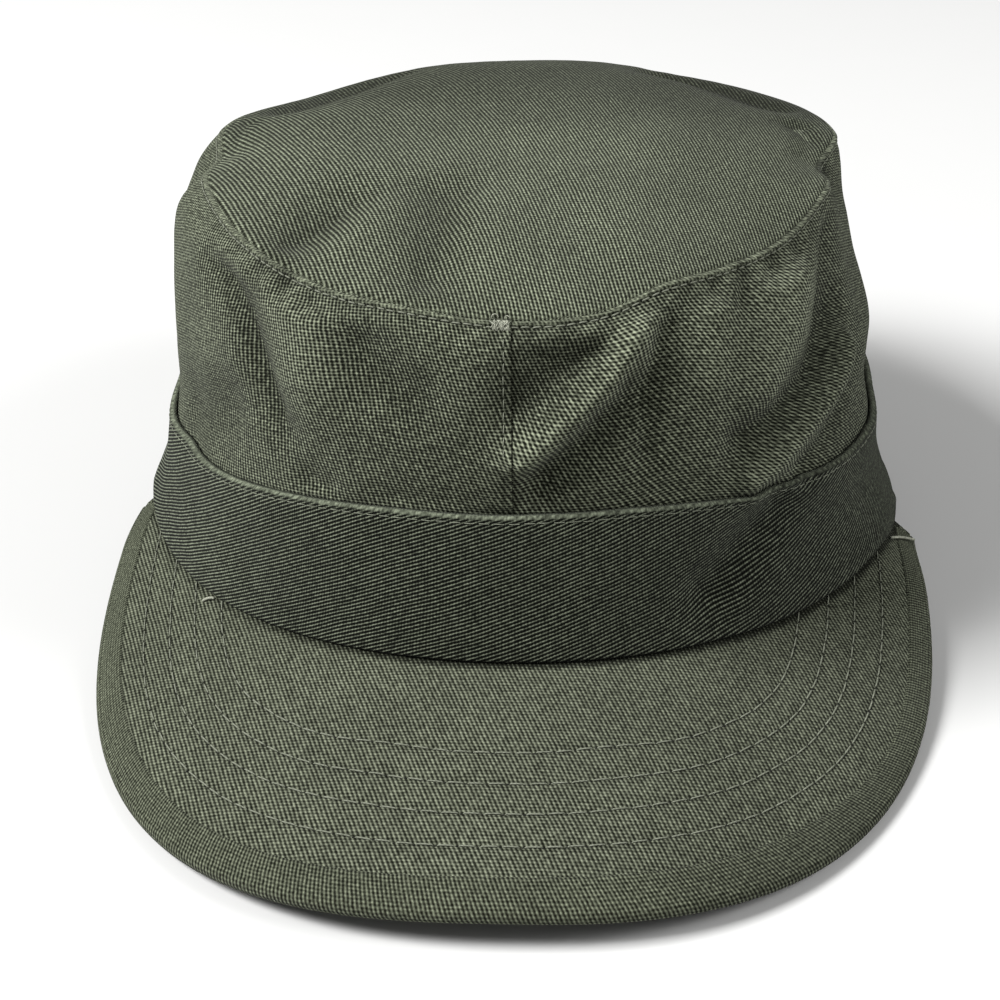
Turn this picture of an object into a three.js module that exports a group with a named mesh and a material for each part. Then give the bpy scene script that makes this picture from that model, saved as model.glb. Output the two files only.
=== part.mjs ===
// Patrol cap: a soft cloth cap with a domed top panel, two side panels, a broad band and a stiff visor.
// Millimetres, +Z up. The front and the visor point to -Y, and +X is on the right of someone facing it.
// The cap rests as it would on a table: on the low side corners of the visor and the back of the band.
//
// Places round the cap are azimuths in degrees: 0 is the middle of the front and 90 the side at +X.
// Places up its wall are levels: 0 is the bottom edge, 1 the band's top edge and 2 the crown seam.

import * as THREE from 'three';

const { clamp, degToRad, lerp, radToDeg, smoothstep } = THREE.MathUtils;

// Cloth walls, and the gap that neighbouring pieces keep
const PANEL_CLOTH = 1.2;
const BAND_CLOTH = 1.6;
const VISOR_CLOTH = 3.0;
const GAP = 0.3;

// Half widths of the side panels' outer face at each level, to the left, the right, the front and the back
const GIRTHS = [
  { level: 0.0, left: 90.3, right: 90.3, front: 105.1, back: 104.1 },
  { level: 0.5, left: 85.5, right: 84.9, front: 103.7, back: 103.3 },
  { level: 1.0, left: 83.8, right: 83.8, front: 102.6, back: 102.6 },
  { level: 1.15, left: 82.5, right: 81.9, front: 103.2, back: 102.8 },
  { level: 1.3, left: 81.9, right: 81.1, front: 103.2, back: 102.5 },
  { level: 1.45, left: 81.8, right: 78.6, front: 103.0, back: 102.0 },
  { level: 1.6, left: 81.1, right: 75.9, front: 102.2, back: 101.0 },
  { level: 1.75, left: 80.1, right: 74.1, front: 100.7, back: 99.1 },
  { level: 1.88, left: 78.1, right: 73.4, front: 98.6, back: 96.9 },
  { level: 2.0, left: 72.0, right: 72.0, front: 95.0, back: 93.0 },
];

// Behind its middle the wall draws in at the band's top, by a share of its width on each side
const BACK_TAPER = { left: 0.023, right: 0.03, from: 68, to: 84, atHem: 0.3, goneByLevel: 1.3 };

// Heights above the table of the band's top edge and of the crown seam, which wander as soft cloth does
const HEIGHTS = [
  { azimuth: -150, bandTop: 36.0, seam: 90.4 },
  { azimuth: -125, bandTop: 38.5, seam: 90.9 },
  { azimuth: -100, bandTop: 41.5, seam: 96.0 },
  { azimuth: -80, bandTop: 42.0, seam: 96.5 },
  { azimuth: -65, bandTop: 42.6, seam: 97.0 },
  { azimuth: -50, bandTop: 45.0, seam: 94.5 },
  { azimuth: -30, bandTop: 50.2, seam: 91.0 },
  { azimuth: -15, bandTop: 53.0, seam: 90.2 },
  { azimuth: 0, bandTop: 53.5, seam: 89.4 },
  { azimuth: 15, bandTop: 53.2, seam: 89.8 },
  { azimuth: 25, bandTop: 51.4, seam: 92.4 },
  { azimuth: 35, bandTop: 48.6, seam: 93.8 },
  { azimuth: 50, bandTop: 45.2, seam: 95.2 },
  { azimuth: 65, bandTop: 43.0, seam: 98.0 },
  { azimuth: 80, bandTop: 42.2, seam: 98.5 },
  { azimuth: 100, bandTop: 41.5, seam: 96.4 },
  { azimuth: 125, bandTop: 38.5, seam: 92.2 },
  { azimuth: 150, bandTop: 36.0, seam: 89.8 },
  { azimuth: 180, bandTop: 34.5, seam: 89.9 },
];

// Behind the visor the bottom edge comes down from each side to the table at the back
const SIDE_HEM = { left: 11.0, right: 8.0, highUntil: 92, flatFrom: 150, leavesVisor: 1, clearOfVisor: 12 };

// Folds and dents of the side panels and the band: both ends, the half width and how far each stands out
const WALL_FOLDS = [
  { name: 'left valley, top', azimuth: -55, level: 1.93, toAzimuth: -40, toLevel: 1.76, width: 6, out: -2.6 },
  { name: 'left valley, low', azimuth: -40, level: 1.76, toAzimuth: -32, toLevel: 1.32, width: 6, out: -2.6 },
  { name: 'left swell', azimuth: -31, level: 1.88, toAzimuth: -30, toLevel: 1.55, width: 10, out: 1.6 },
  { name: 'front ridge', azimuth: 20, level: 1.94, toAzimuth: 3, toLevel: 1.36, width: 8, out: 2.6 },
  { name: 'front hollow', azimuth: 3, level: 1.86, toAzimuth: 12, toLevel: 1.86, width: 8, out: -2.2 },
  { name: 'valley past the ridge', azimuth: 23, level: 1.74, toAzimuth: 4, toLevel: 1.24, width: 7, out: -2.4 },
  { name: 'pucker valley', azimuth: 28, level: 1.97, toAzimuth: 22, toLevel: 1.5, width: 5, out: -2.0 },
  { name: 'short valley', azimuth: 38, level: 1.98, toAzimuth: 39, toLevel: 1.76, width: 5, out: -1.8 },
  { name: 'right swell', azimuth: 52, level: 1.85, toAzimuth: 45, toLevel: 1.6, width: 14, out: 1.4 },
  { name: 'right sag, deep', azimuth: 64, level: 1.56, toAzimuth: 34, toLevel: 1.36, width: 7, out: -2.4 },
  { name: 'right sag, roll', azimuth: 62, level: 1.3, toAzimuth: 28, toLevel: 1.18, width: 6, out: 2.0 },
  { name: 'band dent', azimuth: 41, level: 0.85, toAzimuth: 26, toLevel: 0.5, width: 8, out: -1.4 },
];

// The wall laid flat, on which the folds are measured: the radius it unrolls from and its two rises
const FLAT_RADIUS = 92;
const FLAT_RISE = { band: 32, crown: 46 };

// Places where the crown seam is pinched in and down: the reach is in degrees either way
const SEAM_PINCHES = [
  { azimuth: 79, reach: 13, inward: 4.5, down: 2.5 },
  { azimuth: -84, reach: 12, inward: 2.5, down: 1.2 },
];
const PINCH_FROM_LEVEL = 1.72;
const PINCH_FROM_SHARE = 0.8;

// Folds die out just short of the crown seam, on the wall by level and on the top panel by share
const WALL_FOLD_FADE = { from: 1.84, to: 1.94 };
const TOP_FOLD_FADE = { from: 0.86, to: 0.98 };

// The top panel swells above its seam, and has its own creases: both ends in plan, half width and rise
const TOP_MIDDLE_HEIGHT = 101.4;
const TOP_FOLDS = [
  { name: 'front dimple', x: -14, y: -48, toX: -15, toY: -86, width: 9, rise: -2.2 },
  { name: 'left dimple', x: -36, y: -50, toX: -47, toY: -70, width: 9, rise: -2.6 },
  { name: 'back left trough', x: -60, y: 26, toX: -38, toY: 66, width: 8, rise: -2.6 },
  { name: 'back right trough', x: 62, y: 28, toX: 34, toY: 68, width: 8, rise: -3.0 },
];

// The side panels' edge is turned in under the top panel: shares of the way from its middle to the seam
const TURN_IN_GAP = 0.6;
const TURN_IN_LEVEL = 1.94;
const TURN_IN_SHARES = [0.975, 0.93];

// Visor: a superellipse in plan, bent down to both sides over a cylinder and sloping down to the front
const VISOR = {
  middleX: -0.3, halfWidth: 92.7, widestY: -43.6, reach: 122.9, squareness: 2.35,
  ridgeHeight: 43.1, bendRadius: 211.0, slope: 11.5,
  leftEnd: -75, rightEnd: 76, tuck: 4.0,
  rimWidth: 11.0, rimRoll: 1.2, rimShareAtEnds: 0.5,
};
const VISOR_TAIL = { share: 0.1, length: 14.0, leftInward: 2.4, rightInward: -0.6 };
const VISOR_RIGHT_DROOP = { drop: 6.5, fromY: -58, toY: -18, fromX: 54, toX: 92 };

// Steps by which the wall's slope is felt, and the level from which its cloth is set off squarely
const PROBE = { azimuth: 0.5, level: 0.01, squareFrom: 1.2 };

// How finely each piece is divided
const AZIMUTH_STEP = 5;
const TURN = 360;
const HALF_TURN = 180;
const PANEL_LEVELS = [0, 0.33, 0.67, 1, 1.15, 1.3, 1.45, 1.6, 1.75, 1.88, TURN_IN_LEVEL];
const BAND_LEVELS = [0, 0.33, 0.67, 1];
const TOP_SHARES = [0.22, 0.42, 0.58, 0.7, 0.8, 0.87, ...TURN_IN_SHARES.toReversed(), 1];
const VISOR_STEPS = 44;
const VISOR_SHARES = [0, 0.14, 0.4, 0.7];
const VISOR_RIM_SHARES = [1, 0.5, 0.14];

// Cloth colours
const COLOURS = { top: 0x5f6656, left: 0x565c4e, right: 0x4a4f43, band: 0x41443a, visor: 0x5a6050 };
const CLOTH_ROUGHNESS = 0.92;

// One column of a table's row; with a turn the table closes on itself
function cell(rows, index, key, column, turn) {
  if (!turn) return rows[clamp(index, 0, rows.length - 1)][column];
  const lap = Math.floor(index / rows.length);
  const value = rows[index - lap * rows.length][column];
  return column === key ? value + lap * turn : value;
}

// Every column of a table at a place between its rows, along a smooth curve through the rows
function between(rows, key, place, turn = 0) {
  let index = turn ? -1 : 0;
  const last = turn ? rows.length - 1 : rows.length - 2;
  while (index < last && cell(rows, index + 1, key, key, turn) <= place) index += 1;
  const at = [-1, 0, 1, 2].map((step) => cell(rows, index + step, key, key, turn));
  const span = at[2] - at[1];
  const t = clamp((place - at[1]) / span, 0, 1);
  const result = {};
  for (const column of Object.keys(rows[0])) {
    const value = [-1, 0, 1, 2].map((step) => cell(rows, index + step, key, column, turn));
    const leave = ((value[2] - value[0]) / (at[2] - at[0])) * span;
    const arrive = ((value[3] - value[1]) / (at[3] - at[1])) * span;
    result[column] = (2 * t ** 3 - 3 * t ** 2 + 1) * value[1] + (t ** 3 - 2 * t ** 2 + t) * leave
      + (3 * t ** 2 - 2 * t ** 3) * value[2] + (t ** 3 - t ** 2) * arrive;
  }
  return result;
}

// How far a point lies under a soft ridge drawn from one end to the other, from 0 to 1
function ridge(x, y, fromX, fromY, toX, toY, width) {
  const dx = toX - fromX;
  const dy = toY - fromY;
  const along = clamp(((x - fromX) * dx + (y - fromY) * dy) / (dx * dx + dy * dy), 0, 1);
  const away = Math.hypot(x - fromX - along * dx, y - fromY - along * dy) / width;
  return Math.exp(-away * away);
}

// How far all folds together push the wall out, worked out on the wall laid flat
function wallFold(azimuth, level) {
  const across = (angle) => degToRad(angle) * FLAT_RADIUS;
  const up = (value) => (value - 1) * (value < 1 ? FLAT_RISE.band : FLAT_RISE.crown);
  const fade = 1 - smoothstep(level, WALL_FOLD_FADE.from, WALL_FOLD_FADE.to);
  return fade * WALL_FOLDS.reduce((sum, fold) => sum + fold.out * ridge(
    across(azimuth), up(level),
    across(fold.azimuth), up(fold.level), across(fold.toAzimuth), up(fold.toLevel), fold.width,
  ), 0);
}

// How far the crown seam is pinched in and down at an azimuth
function seamPinch(azimuth) {
  const result = { inward: 0, down: 0 };
  for (const pinch of SEAM_PINCHES) {
    const share = 1 - smoothstep(Math.abs(azimuth - pinch.azimuth), 0, pinch.reach);
    result.inward += pinch.inward * share;
    result.down += pinch.down * share;
  }
  return result;
}

// Height of the visor's upper face over a place in plan, before its rim is rolled
function visorTop(x, y) {
  const bend = VISOR.bendRadius - Math.sqrt(VISOR.bendRadius ** 2 - x * x);
  const droop = VISOR_RIGHT_DROOP;
  const sag = droop.drop * smoothstep(y, droop.fromY, droop.toY) * smoothstep(x, droop.fromX, droop.toX);
  return VISOR.ridgeHeight - bend + Math.tan(degToRad(VISOR.slope)) * y - sag;
}

// Height of the wall's bottom edge: on the visor in front, and behind it down to the table
function hemHeight(azimuth, x, y) {
  const side = Math.abs(azimuth);
  const rise = azimuth < 0 ? SIDE_HEM.left : SIDE_HEM.right;
  const behind = rise * (1 - smoothstep(side, SIDE_HEM.highUntil, SIDE_HEM.flatFrom));
  const end = azimuth < 0 ? -VISOR.leftEnd : VISOR.rightEnd;
  const leaving = smoothstep(side, end + SIDE_HEM.leavesVisor, end + SIDE_HEM.clearOfVisor);
  return leaving < 1 ? lerp(visorTop(x, y) + GAP, behind, leaving) : behind;
}

// The share by which the wall draws in behind its middle
function backTaper(azimuth, level) {
  const lower = lerp(BACK_TAPER.atHem, 1, level);
  const upper = 1 - smoothstep(level, 1, BACK_TAPER.goneByLevel);
  const share = azimuth < 0 ? BACK_TAPER.left : BACK_TAPER.right;
  return share * Math.min(lower, upper) * smoothstep(Math.abs(azimuth), BACK_TAPER.from, BACK_TAPER.to);
}

// A point of the wall's outer face without its folds
function smoothWall(azimuth, level) {
  const angle = degToRad(azimuth);
  const girth = between(GIRTHS, 'level', level);
  const halfWidth = lerp(girth.left, girth.right, 0.5 + 0.5 * Math.sin(angle));
  const sideways = halfWidth * (1 - backTaper(azimuth, level));
  const lengthways = Math.cos(angle) > 0 ? girth.front : girth.back;
  const x = sideways * Math.sin(angle);
  const y = -lengthways * Math.cos(angle);
  const heights = between(HEIGHTS, 'azimuth', azimuth, TURN);
  const z = level < 1
    ? lerp(hemHeight(azimuth, x, y), heights.bandTop, level)
    : lerp(heights.bandTop, heights.seam, level - 1);
  return new THREE.Vector3(x, y, z);
}

// Outward direction of the wall: level at the band, so that its edges stay flat, and square above it
function wallNormal(azimuth, level) {
  const up = Math.min(level + PROBE.level, 2);
  const round = smoothWall(azimuth + PROBE.azimuth, level).sub(smoothWall(azimuth - PROBE.azimuth, level));
  const rise = smoothWall(azimuth, up).sub(smoothWall(azimuth, up - 2 * PROBE.level));
  const normal = round.cross(rise).normalize();
  normal.z *= smoothstep(level, 1, PROBE.squareFrom);
  return normal.normalize();
}

// A point of the wall, moved out from the outer face of the side panels by some cloth
function wallPoint(azimuth, level, out) {
  const point = smoothWall(azimuth, level);
  const normal = wallNormal(azimuth, level);
  point.addScaledVector(normal, out + wallFold(azimuth, level));
  if (level < 1) {
    const bandTop = between(HEIGHTS, 'azimuth', azimuth, TURN).bandTop;
    point.z = lerp(hemHeight(azimuth, point.x, point.y), bandTop, level);
  }
  const pinch = seamPinch(azimuth);
  const share = smoothstep(level, PINCH_FROM_LEVEL, 2);
  const inwards = new THREE.Vector3(point.x, point.y, 0).normalize();
  point.addScaledVector(inwards, -pinch.inward * share);
  point.z -= pinch.down * share;
  return point;
}

// A point of the top panel, from its middle at share 0 to the seam at share 1, some way under its face
function topPoint(azimuth, share, under) {
  const seam = smoothWall(azimuth, 2);
  const inwards = new THREE.Vector3(seam.x, seam.y, 0).normalize();
  const point = new THREE.Vector3(seam.x * share, seam.y * share, 0);
  const pinch = seamPinch(azimuth);
  const pinched = smoothstep(share, PINCH_FROM_SHARE, 1);
  point.addScaledVector(inwards, -pinch.inward * pinched);
  point.z = lerp(TOP_MIDDLE_HEIGHT, seam.z, share ** 3) - pinch.down * pinched;
  const fade = 1 - smoothstep(share, TOP_FOLD_FADE.from, TOP_FOLD_FADE.to);
  for (const fold of TOP_FOLDS) {
    point.z += fade * fold.rise * ridge(point.x, point.y, fold.x, fold.y, fold.toX, fold.toY, fold.width);
  }
  point.z -= under;
  return point;
}

// A point of the visor's outline; the place runs from -1 at the left through 0 at the tip to 1 at the
// right, and past these the outline turns in to the visor's two ends
function visorOutline(place) {
  const angle = degToRad(90 * clamp(place, -1, 1));
  const power = 2 / VISOR.squareness;
  const x = VISOR.middleX + VISOR.halfWidth * Math.sign(angle) * Math.abs(Math.sin(angle)) ** power;
  const y = VISOR.widestY - VISOR.reach * Math.abs(Math.cos(angle)) ** power;
  const tail = Math.max(Math.abs(place) - 1, 0) / VISOR_TAIL.share;
  const inward = place < 0 ? VISOR_TAIL.leftInward : -VISOR_TAIL.rightInward;
  return new THREE.Vector2(x + inward * tail * tail, y + VISOR_TAIL.length * tail);
}

// A point of the visor's back edge, tucked in under the side panels
function visorTuck(azimuth) {
  const angle = degToRad(azimuth);
  const inset = PANEL_CLOTH + VISOR.tuck;
  return new THREE.Vector2(
    (GIRTHS[0].left - inset) * Math.sin(angle),
    -(GIRTHS[0].front - inset) * Math.cos(angle),
  );
}

// The closed section of the visor at a share of the way from its left end to its right end
function visorSection(share) {
  const outline = visorOutline((1 + VISOR_TAIL.share) * (2 * share - 1));
  const tuck = visorTuck(lerp(VISOR.leftEnd, VISOR.rightEnd, share));
  const length = outline.distanceTo(tuck);
  const rim = Math.min(VISOR.rimWidth, length * VISOR.rimShareAtEnds);
  const upper = [
    ...VISOR_SHARES.map((part) => (length - rim) * part),
    ...VISOR_RIM_SHARES.map((part) => length - rim * part),
  ];
  const face = (run, under) => {
    const place = tuck.clone().lerp(outline, run / length);
    const roll = VISOR.rimRoll * Math.max(1 - (length - run) / rim, 0) ** 2;
    return new THREE.Vector3(place.x, place.y, visorTop(place.x, place.y) - roll - under);
  };
  return [
    ...upper.map((run) => face(run, 0)),
    face(length, VISOR_CLOTH / 2),
    ...upper.slice().reverse().map((run) => face(run, VISOR_CLOTH)),
  ];
}

// Collects points and triangles, and hands them over as one indexed body
class Body {
  constructor() {
    this.points = [];
    this.faces = [];
  }

  add(point) {
    this.points.push(point.x, point.y, point.z);
    return this.points.length / 3 - 1;
  }

  quad(a, b, c, d) {
    this.faces.push(a, b, c, a, c, d);
  }

  geometry() {
    const result = new THREE.BufferGeometry();
    result.setAttribute('position', new THREE.Float32BufferAttribute(this.points, 3));
    result.setIndex(this.faces);
    result.computeVertexNormals();
    return result;
  }
}

// A wall carried round the cap: each section lists its outer face upwards and its inner face upwards
function wallBody(sections, closed) {
  const body = new Body();
  const outer = sections.map((section) => section.outer.map((point) => body.add(point)));
  const inner = sections.map((section) => section.inner.map((point) => body.add(point)));
  const top = outer[0].length - 1;
  const laps = closed ? sections.length : sections.length - 1;
  for (let i = 0; i < laps; i += 1) {
    const j = (i + 1) % sections.length;
    for (let k = 0; k < top; k += 1) {
      body.quad(outer[i][k], outer[j][k], outer[j][k + 1], outer[i][k + 1]);
      body.quad(inner[i][k], inner[i][k + 1], inner[j][k + 1], inner[j][k]);
    }
    body.quad(outer[i][0], inner[i][0], inner[j][0], outer[j][0]);
    body.quad(outer[i][top], outer[j][top], inner[j][top], inner[i][top]);
  }
  if (!closed) {
    const end = sections.length - 1;
    for (let k = 0; k < top; k += 1) {
      body.quad(outer[0][k], outer[0][k + 1], inner[0][k + 1], inner[0][k]);
      body.quad(outer[end][k], inner[end][k], inner[end][k + 1], outer[end][k + 1]);
    }
  }
  return body.geometry();
}

function azimuths(from, to) {
  const steps = Math.round((to - from) / AZIMUTH_STEP);
  return Array.from({ length: steps + 1 }, (_, index) => lerp(from, to, index / steps));
}

// One side panel, from the middle of the front to the middle of the back, with its top edge turned in
function sidePanel(from, to) {
  const sections = azimuths(from, to).map((azimuth) => ({
    outer: [
      ...PANEL_LEVELS.map((level) => wallPoint(azimuth, level, 0)),
      ...TURN_IN_SHARES.map((share) => topPoint(azimuth, share, PANEL_CLOTH + TURN_IN_GAP)),
    ],
    inner: [
      ...PANEL_LEVELS.map((level) => wallPoint(azimuth, level, -PANEL_CLOTH)),
      ...TURN_IN_SHARES.map((share) => topPoint(azimuth, share, 2 * PANEL_CLOTH + TURN_IN_GAP)),
    ],
  }));
  return wallBody(sections, false);
}

// The band, one closed strip over the lower end of the side panels
function band() {
  const ring = azimuths(-HALF_TURN, HALF_TURN).slice(0, -1);
  const layer = (azimuth, out) => BAND_LEVELS.map((level) => wallPoint(azimuth, level, out));
  const sections = ring.map((azimuth) => ({
    outer: layer(azimuth, GAP + BAND_CLOTH),
    inner: layer(azimuth, GAP),
  }));
  return wallBody(sections, true);
}

// The top panel: two domed faces from their middle out to the seam, joined round the rim
function topPanel() {
  const body = new Body();
  const ring = azimuths(-HALF_TURN, HALF_TURN).slice(0, -1);
  const skin = (under) => ({
    middle: body.add(topPoint(0, 0, under)),
    rows: TOP_SHARES.map((share) => ring.map((azimuth) => body.add(topPoint(azimuth, share, under)))),
  });
  const upper = skin(0);
  const lower = skin(PANEL_CLOTH);
  const rim = TOP_SHARES.length - 1;
  for (let i = 0; i < ring.length; i += 1) {
    const j = (i + 1) % ring.length;
    body.faces.push(upper.middle, upper.rows[0][i], upper.rows[0][j]);
    body.faces.push(lower.middle, lower.rows[0][j], lower.rows[0][i]);
    for (let k = 0; k < rim; k += 1) {
      body.quad(upper.rows[k][i], upper.rows[k + 1][i], upper.rows[k + 1][j], upper.rows[k][j]);
      body.quad(lower.rows[k][i], lower.rows[k][j], lower.rows[k + 1][j], lower.rows[k + 1][i]);
    }
    body.quad(upper.rows[rim][i], lower.rows[rim][i], lower.rows[rim][j], upper.rows[rim][j]);
  }
  return body.geometry();
}

// The visor: its closed section carried from end to end, with both ends filled in
function visor() {
  const body = new Body();
  const sections = Array.from({ length: VISOR_STEPS + 1 }, (_, index) => (
    visorSection(index / VISOR_STEPS).map((point) => body.add(point))
  ));
  const size = sections[0].length;
  for (let i = 0; i < VISOR_STEPS; i += 1) {
    for (let k = 0; k < size; k += 1) {
      const next = (k + 1) % size;
      body.quad(sections[i][k], sections[i][next], sections[i + 1][next], sections[i + 1][k]);
    }
  }
  const half = (size - 1) / 2;
  const first = sections[0];
  const last = sections[VISOR_STEPS];
  for (let k = 0; k < half - 1; k += 1) {
    const back = size - 1 - k;
    body.quad(first[k], first[back], first[back - 1], first[k + 1]);
    body.quad(last[k], last[k + 1], last[back - 1], last[back]);
  }
  body.faces.push(first[half - 1], first[half + 1], first[half]);
  body.faces.push(last[half - 1], last[half], last[half + 1]);
  return body.geometry();
}

function piece(name, geometry, color) {
  const material = new THREE.MeshStandardMaterial({ color, roughness: CLOTH_ROUGHNESS, metalness: 0 });
  const mesh = new THREE.Mesh(geometry, material);
  mesh.name = name;
  return mesh;
}

// Half the gap between the side panels where they meet, as an azimuth
const CENTRE_SEAM = radToDeg(GAP / 2 / (GIRTHS.at(-1).back * TURN_IN_SHARES.at(-1)));

const cap = new THREE.Group();
cap.add(piece('top_panel', topPanel(), COLOURS.top));
cap.add(piece('side_panel_left', sidePanel(-HALF_TURN + CENTRE_SEAM, -CENTRE_SEAM), COLOURS.left));
cap.add(piece('side_panel_right', sidePanel(CENTRE_SEAM, HALF_TURN - CENTRE_SEAM), COLOURS.right));
cap.add(piece('band', band(), COLOURS.band));
cap.add(piece('visor', visor(), COLOURS.visor));

// The origin lies on the table under the middle of the cap's box
const box = new THREE.Box3().setFromObject(cap);
cap.position.set(-(box.min.x + box.max.x) / 2, -(box.min.y + box.max.y) / 2, -box.min.z);

export default cap;
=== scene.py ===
"""The looks of a patrol cap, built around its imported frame.

Shapes are worked out in millimetres, +X to the right of someone facing the cap, -Y to the front and +Z up
from the table. Places round the cap are azimuths in degrees, and 0 is the middle of the front. Places up its
wall are levels: 0 is the bottom edge, 1 the band's top edge and 2 the crown seam. Places on the top panel are
shares of the way from its middle to the crown seam.
"""

import logging
import math
from collections.abc import Sequence
from dataclasses import dataclass, field, replace
from enum import Enum

import bpy
import numpy as np
from mathutils import Matrix, Vector

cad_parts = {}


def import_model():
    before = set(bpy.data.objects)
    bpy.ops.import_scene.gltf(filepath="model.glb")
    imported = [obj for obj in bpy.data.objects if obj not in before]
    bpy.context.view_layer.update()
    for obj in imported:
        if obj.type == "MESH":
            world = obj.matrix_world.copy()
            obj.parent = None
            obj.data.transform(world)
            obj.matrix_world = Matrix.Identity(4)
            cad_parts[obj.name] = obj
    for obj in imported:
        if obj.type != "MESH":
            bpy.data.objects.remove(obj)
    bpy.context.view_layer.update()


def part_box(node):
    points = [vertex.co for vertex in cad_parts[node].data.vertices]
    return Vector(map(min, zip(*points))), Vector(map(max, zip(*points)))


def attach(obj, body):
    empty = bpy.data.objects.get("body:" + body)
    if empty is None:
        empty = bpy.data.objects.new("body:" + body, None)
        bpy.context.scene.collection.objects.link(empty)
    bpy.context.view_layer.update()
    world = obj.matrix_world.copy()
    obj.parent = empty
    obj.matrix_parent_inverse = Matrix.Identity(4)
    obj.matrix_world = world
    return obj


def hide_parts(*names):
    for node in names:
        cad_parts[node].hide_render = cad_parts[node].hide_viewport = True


LOG = logging.getLogger("patrol_cap")
METRE = 0.001
FULL_TURN = 360.0
HALF_TURN = 180.0
ALMOST_NOTHING = 1e-9

# Thicknesses of the cloths, and the gap between two of them
PANEL_CLOTH = 1.2
BAND_CLOTH = 1.6
VISOR_CLOTH = 3.0
GAP = 0.3

# Levels of the wall
HEM = 0.0
BAND_TOP = 1.0
CROWN = 2.0

# How sharply a fold's path turns its corners, the least distance from it, and the painted light and shade for
# each millimetre it stands out or sinks
JOINT_SHARPNESS = 5.0
NEAREST = 0.2
FOLD_PAINTED_SHADING = 0.034

Array = np.ndarray
Numbers = Array | float
Pair = tuple[float, float]
Waves = tuple[tuple[float, float, float, float], ...]

# level, then half widths of the side panels' face to the left, the right, the front and the back
GIRTHS = np.array([
    (0.00, 90.3, 90.3, 105.1, 104.1),
    (0.50, 85.5, 84.9, 103.7, 103.3),
    (1.00, 83.8, 83.8, 102.6, 102.6),
    (1.15, 82.5, 81.9, 103.2, 102.8),
    (1.30, 81.9, 81.1, 103.2, 102.5),
    (1.45, 81.8, 78.6, 103.0, 102.0),
    (1.60, 81.1, 75.9, 102.2, 101.0),
    (1.75, 80.1, 74.1, 100.7, 99.1),
    (1.88, 78.1, 73.4, 98.6, 96.9),
    (2.00, 72.0, 72.0, 95.0, 93.0),
])
HEM_LEFT, HEM_FRONT, HEM_BACK = GIRTHS[0, 1], GIRTHS[0, 3], GIRTHS[0, 4]
DEGREE_AT_SEAM = math.radians(1.0) * GIRTHS[3, 3]
DEGREE_AT_TACK = math.radians(1.0) * GIRTHS[-1, 3]
DEGREE_BEHIND = math.radians(1.0) * GIRTHS[1, 4]

# azimuth, then heights above the table of the band's top edge and of the crown seam
HEIGHTS = np.array([
    (-150, 36.0, 90.4),
    (-125, 38.5, 90.9),
    (-100, 41.5, 96.0),
    (-80, 42.0, 96.5),
    (-65, 42.6, 97.0),
    (-50, 45.0, 95.1),
    (-30, 50.2, 92.8),
    (-15, 53.0, 92.4),
    (0, 53.5, 90.9),
    (15, 53.2, 91.5),
    (25, 51.4, 95.0),
    (35, 48.6, 95.0),
    (50, 45.2, 95.2),
    (65, 43.0, 98.0),
    (80, 42.2, 98.5),
    (100, 41.5, 96.4),
    (125, 38.5, 92.2),
    (150, 36.0, 89.8),
    (180, 34.5, 89.9),
], dtype=float)


@dataclass(frozen=True)
class Fold:
    """A soft ridge or valley along a path, in the units of the cloth it lies on."""

    name: str
    path: tuple[Pair, ...]
    width: float
    out: float


# azimuth and level along the path, half width and how far the wall stands out
WALL_FOLDS = (
    Fold("left valley", ((-54, 1.95), (-43.5, 1.77), (-40, 1.6), (-36.5, 1.42), (-34, 1.32)), 6.0, -2.7),
    Fold("left swell", ((-31, 1.92), (-29, 1.62)), 9.5, 2.4),
    Fold("left hollow", ((-21, 1.79), (-13, 1.6)), 8, -2.7),
    Fold("left low hollow", ((-60, 1.12), (-47, 1.32)), 8, -2.4),
    Fold("front ridge", ((21.5, 1.96), (18.6, 1.83), (14.7, 1.68), (8.8, 1.5), (3, 1.33)), 4.8, 4.1),
    Fold("front hollow", ((3, 1.62), (7.5, 1.72), (13.5, 1.82)), 7.0, -3.6),
    Fold("valley past the ridge", ((18.5, 1.58), (11.5, 1.38), (5.2, 1.18)), 5.0, -3.0),
    Fold("pucker valley", ((28, 1.98), (24.5, 1.84), (22.8, 1.66)), 4.5, -1.5),
    Fold("long valley", ((21.8, 1.5), (20.2, 1.22)), 5.0, -1.2),
    Fold("small swell", ((33, 1.84), (31, 1.58)), 5, 1.6),
    Fold("short valley", ((38.8, 1.98), (38.3, 1.89)), 4.0, -1.4),
    Fold("right swell", ((49, 1.86), (41, 1.6)), 12, 3.2),
    Fold("right flank", ((64, 1.9), (60, 1.6)), 5.5, -1.8),
    Fold("right sag, deep", ((64, 1.53), (50, 1.39), (36, 1.25)), 6, -3.6),
    Fold("right sag, roll", ((64, 1.4), (51, 1.27), (40, 1.13), (36, 1.08)), 4.3, 3.5),
    Fold("right sag, foot", ((66, 1.3), (58, 1.19), (52, 1.1), (47, 1.02)), 3.4, -1.6),
    Fold("band dent", ((40.5, 0.85), (28, 0.35)), 6.5, -2.8),
)

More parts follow.
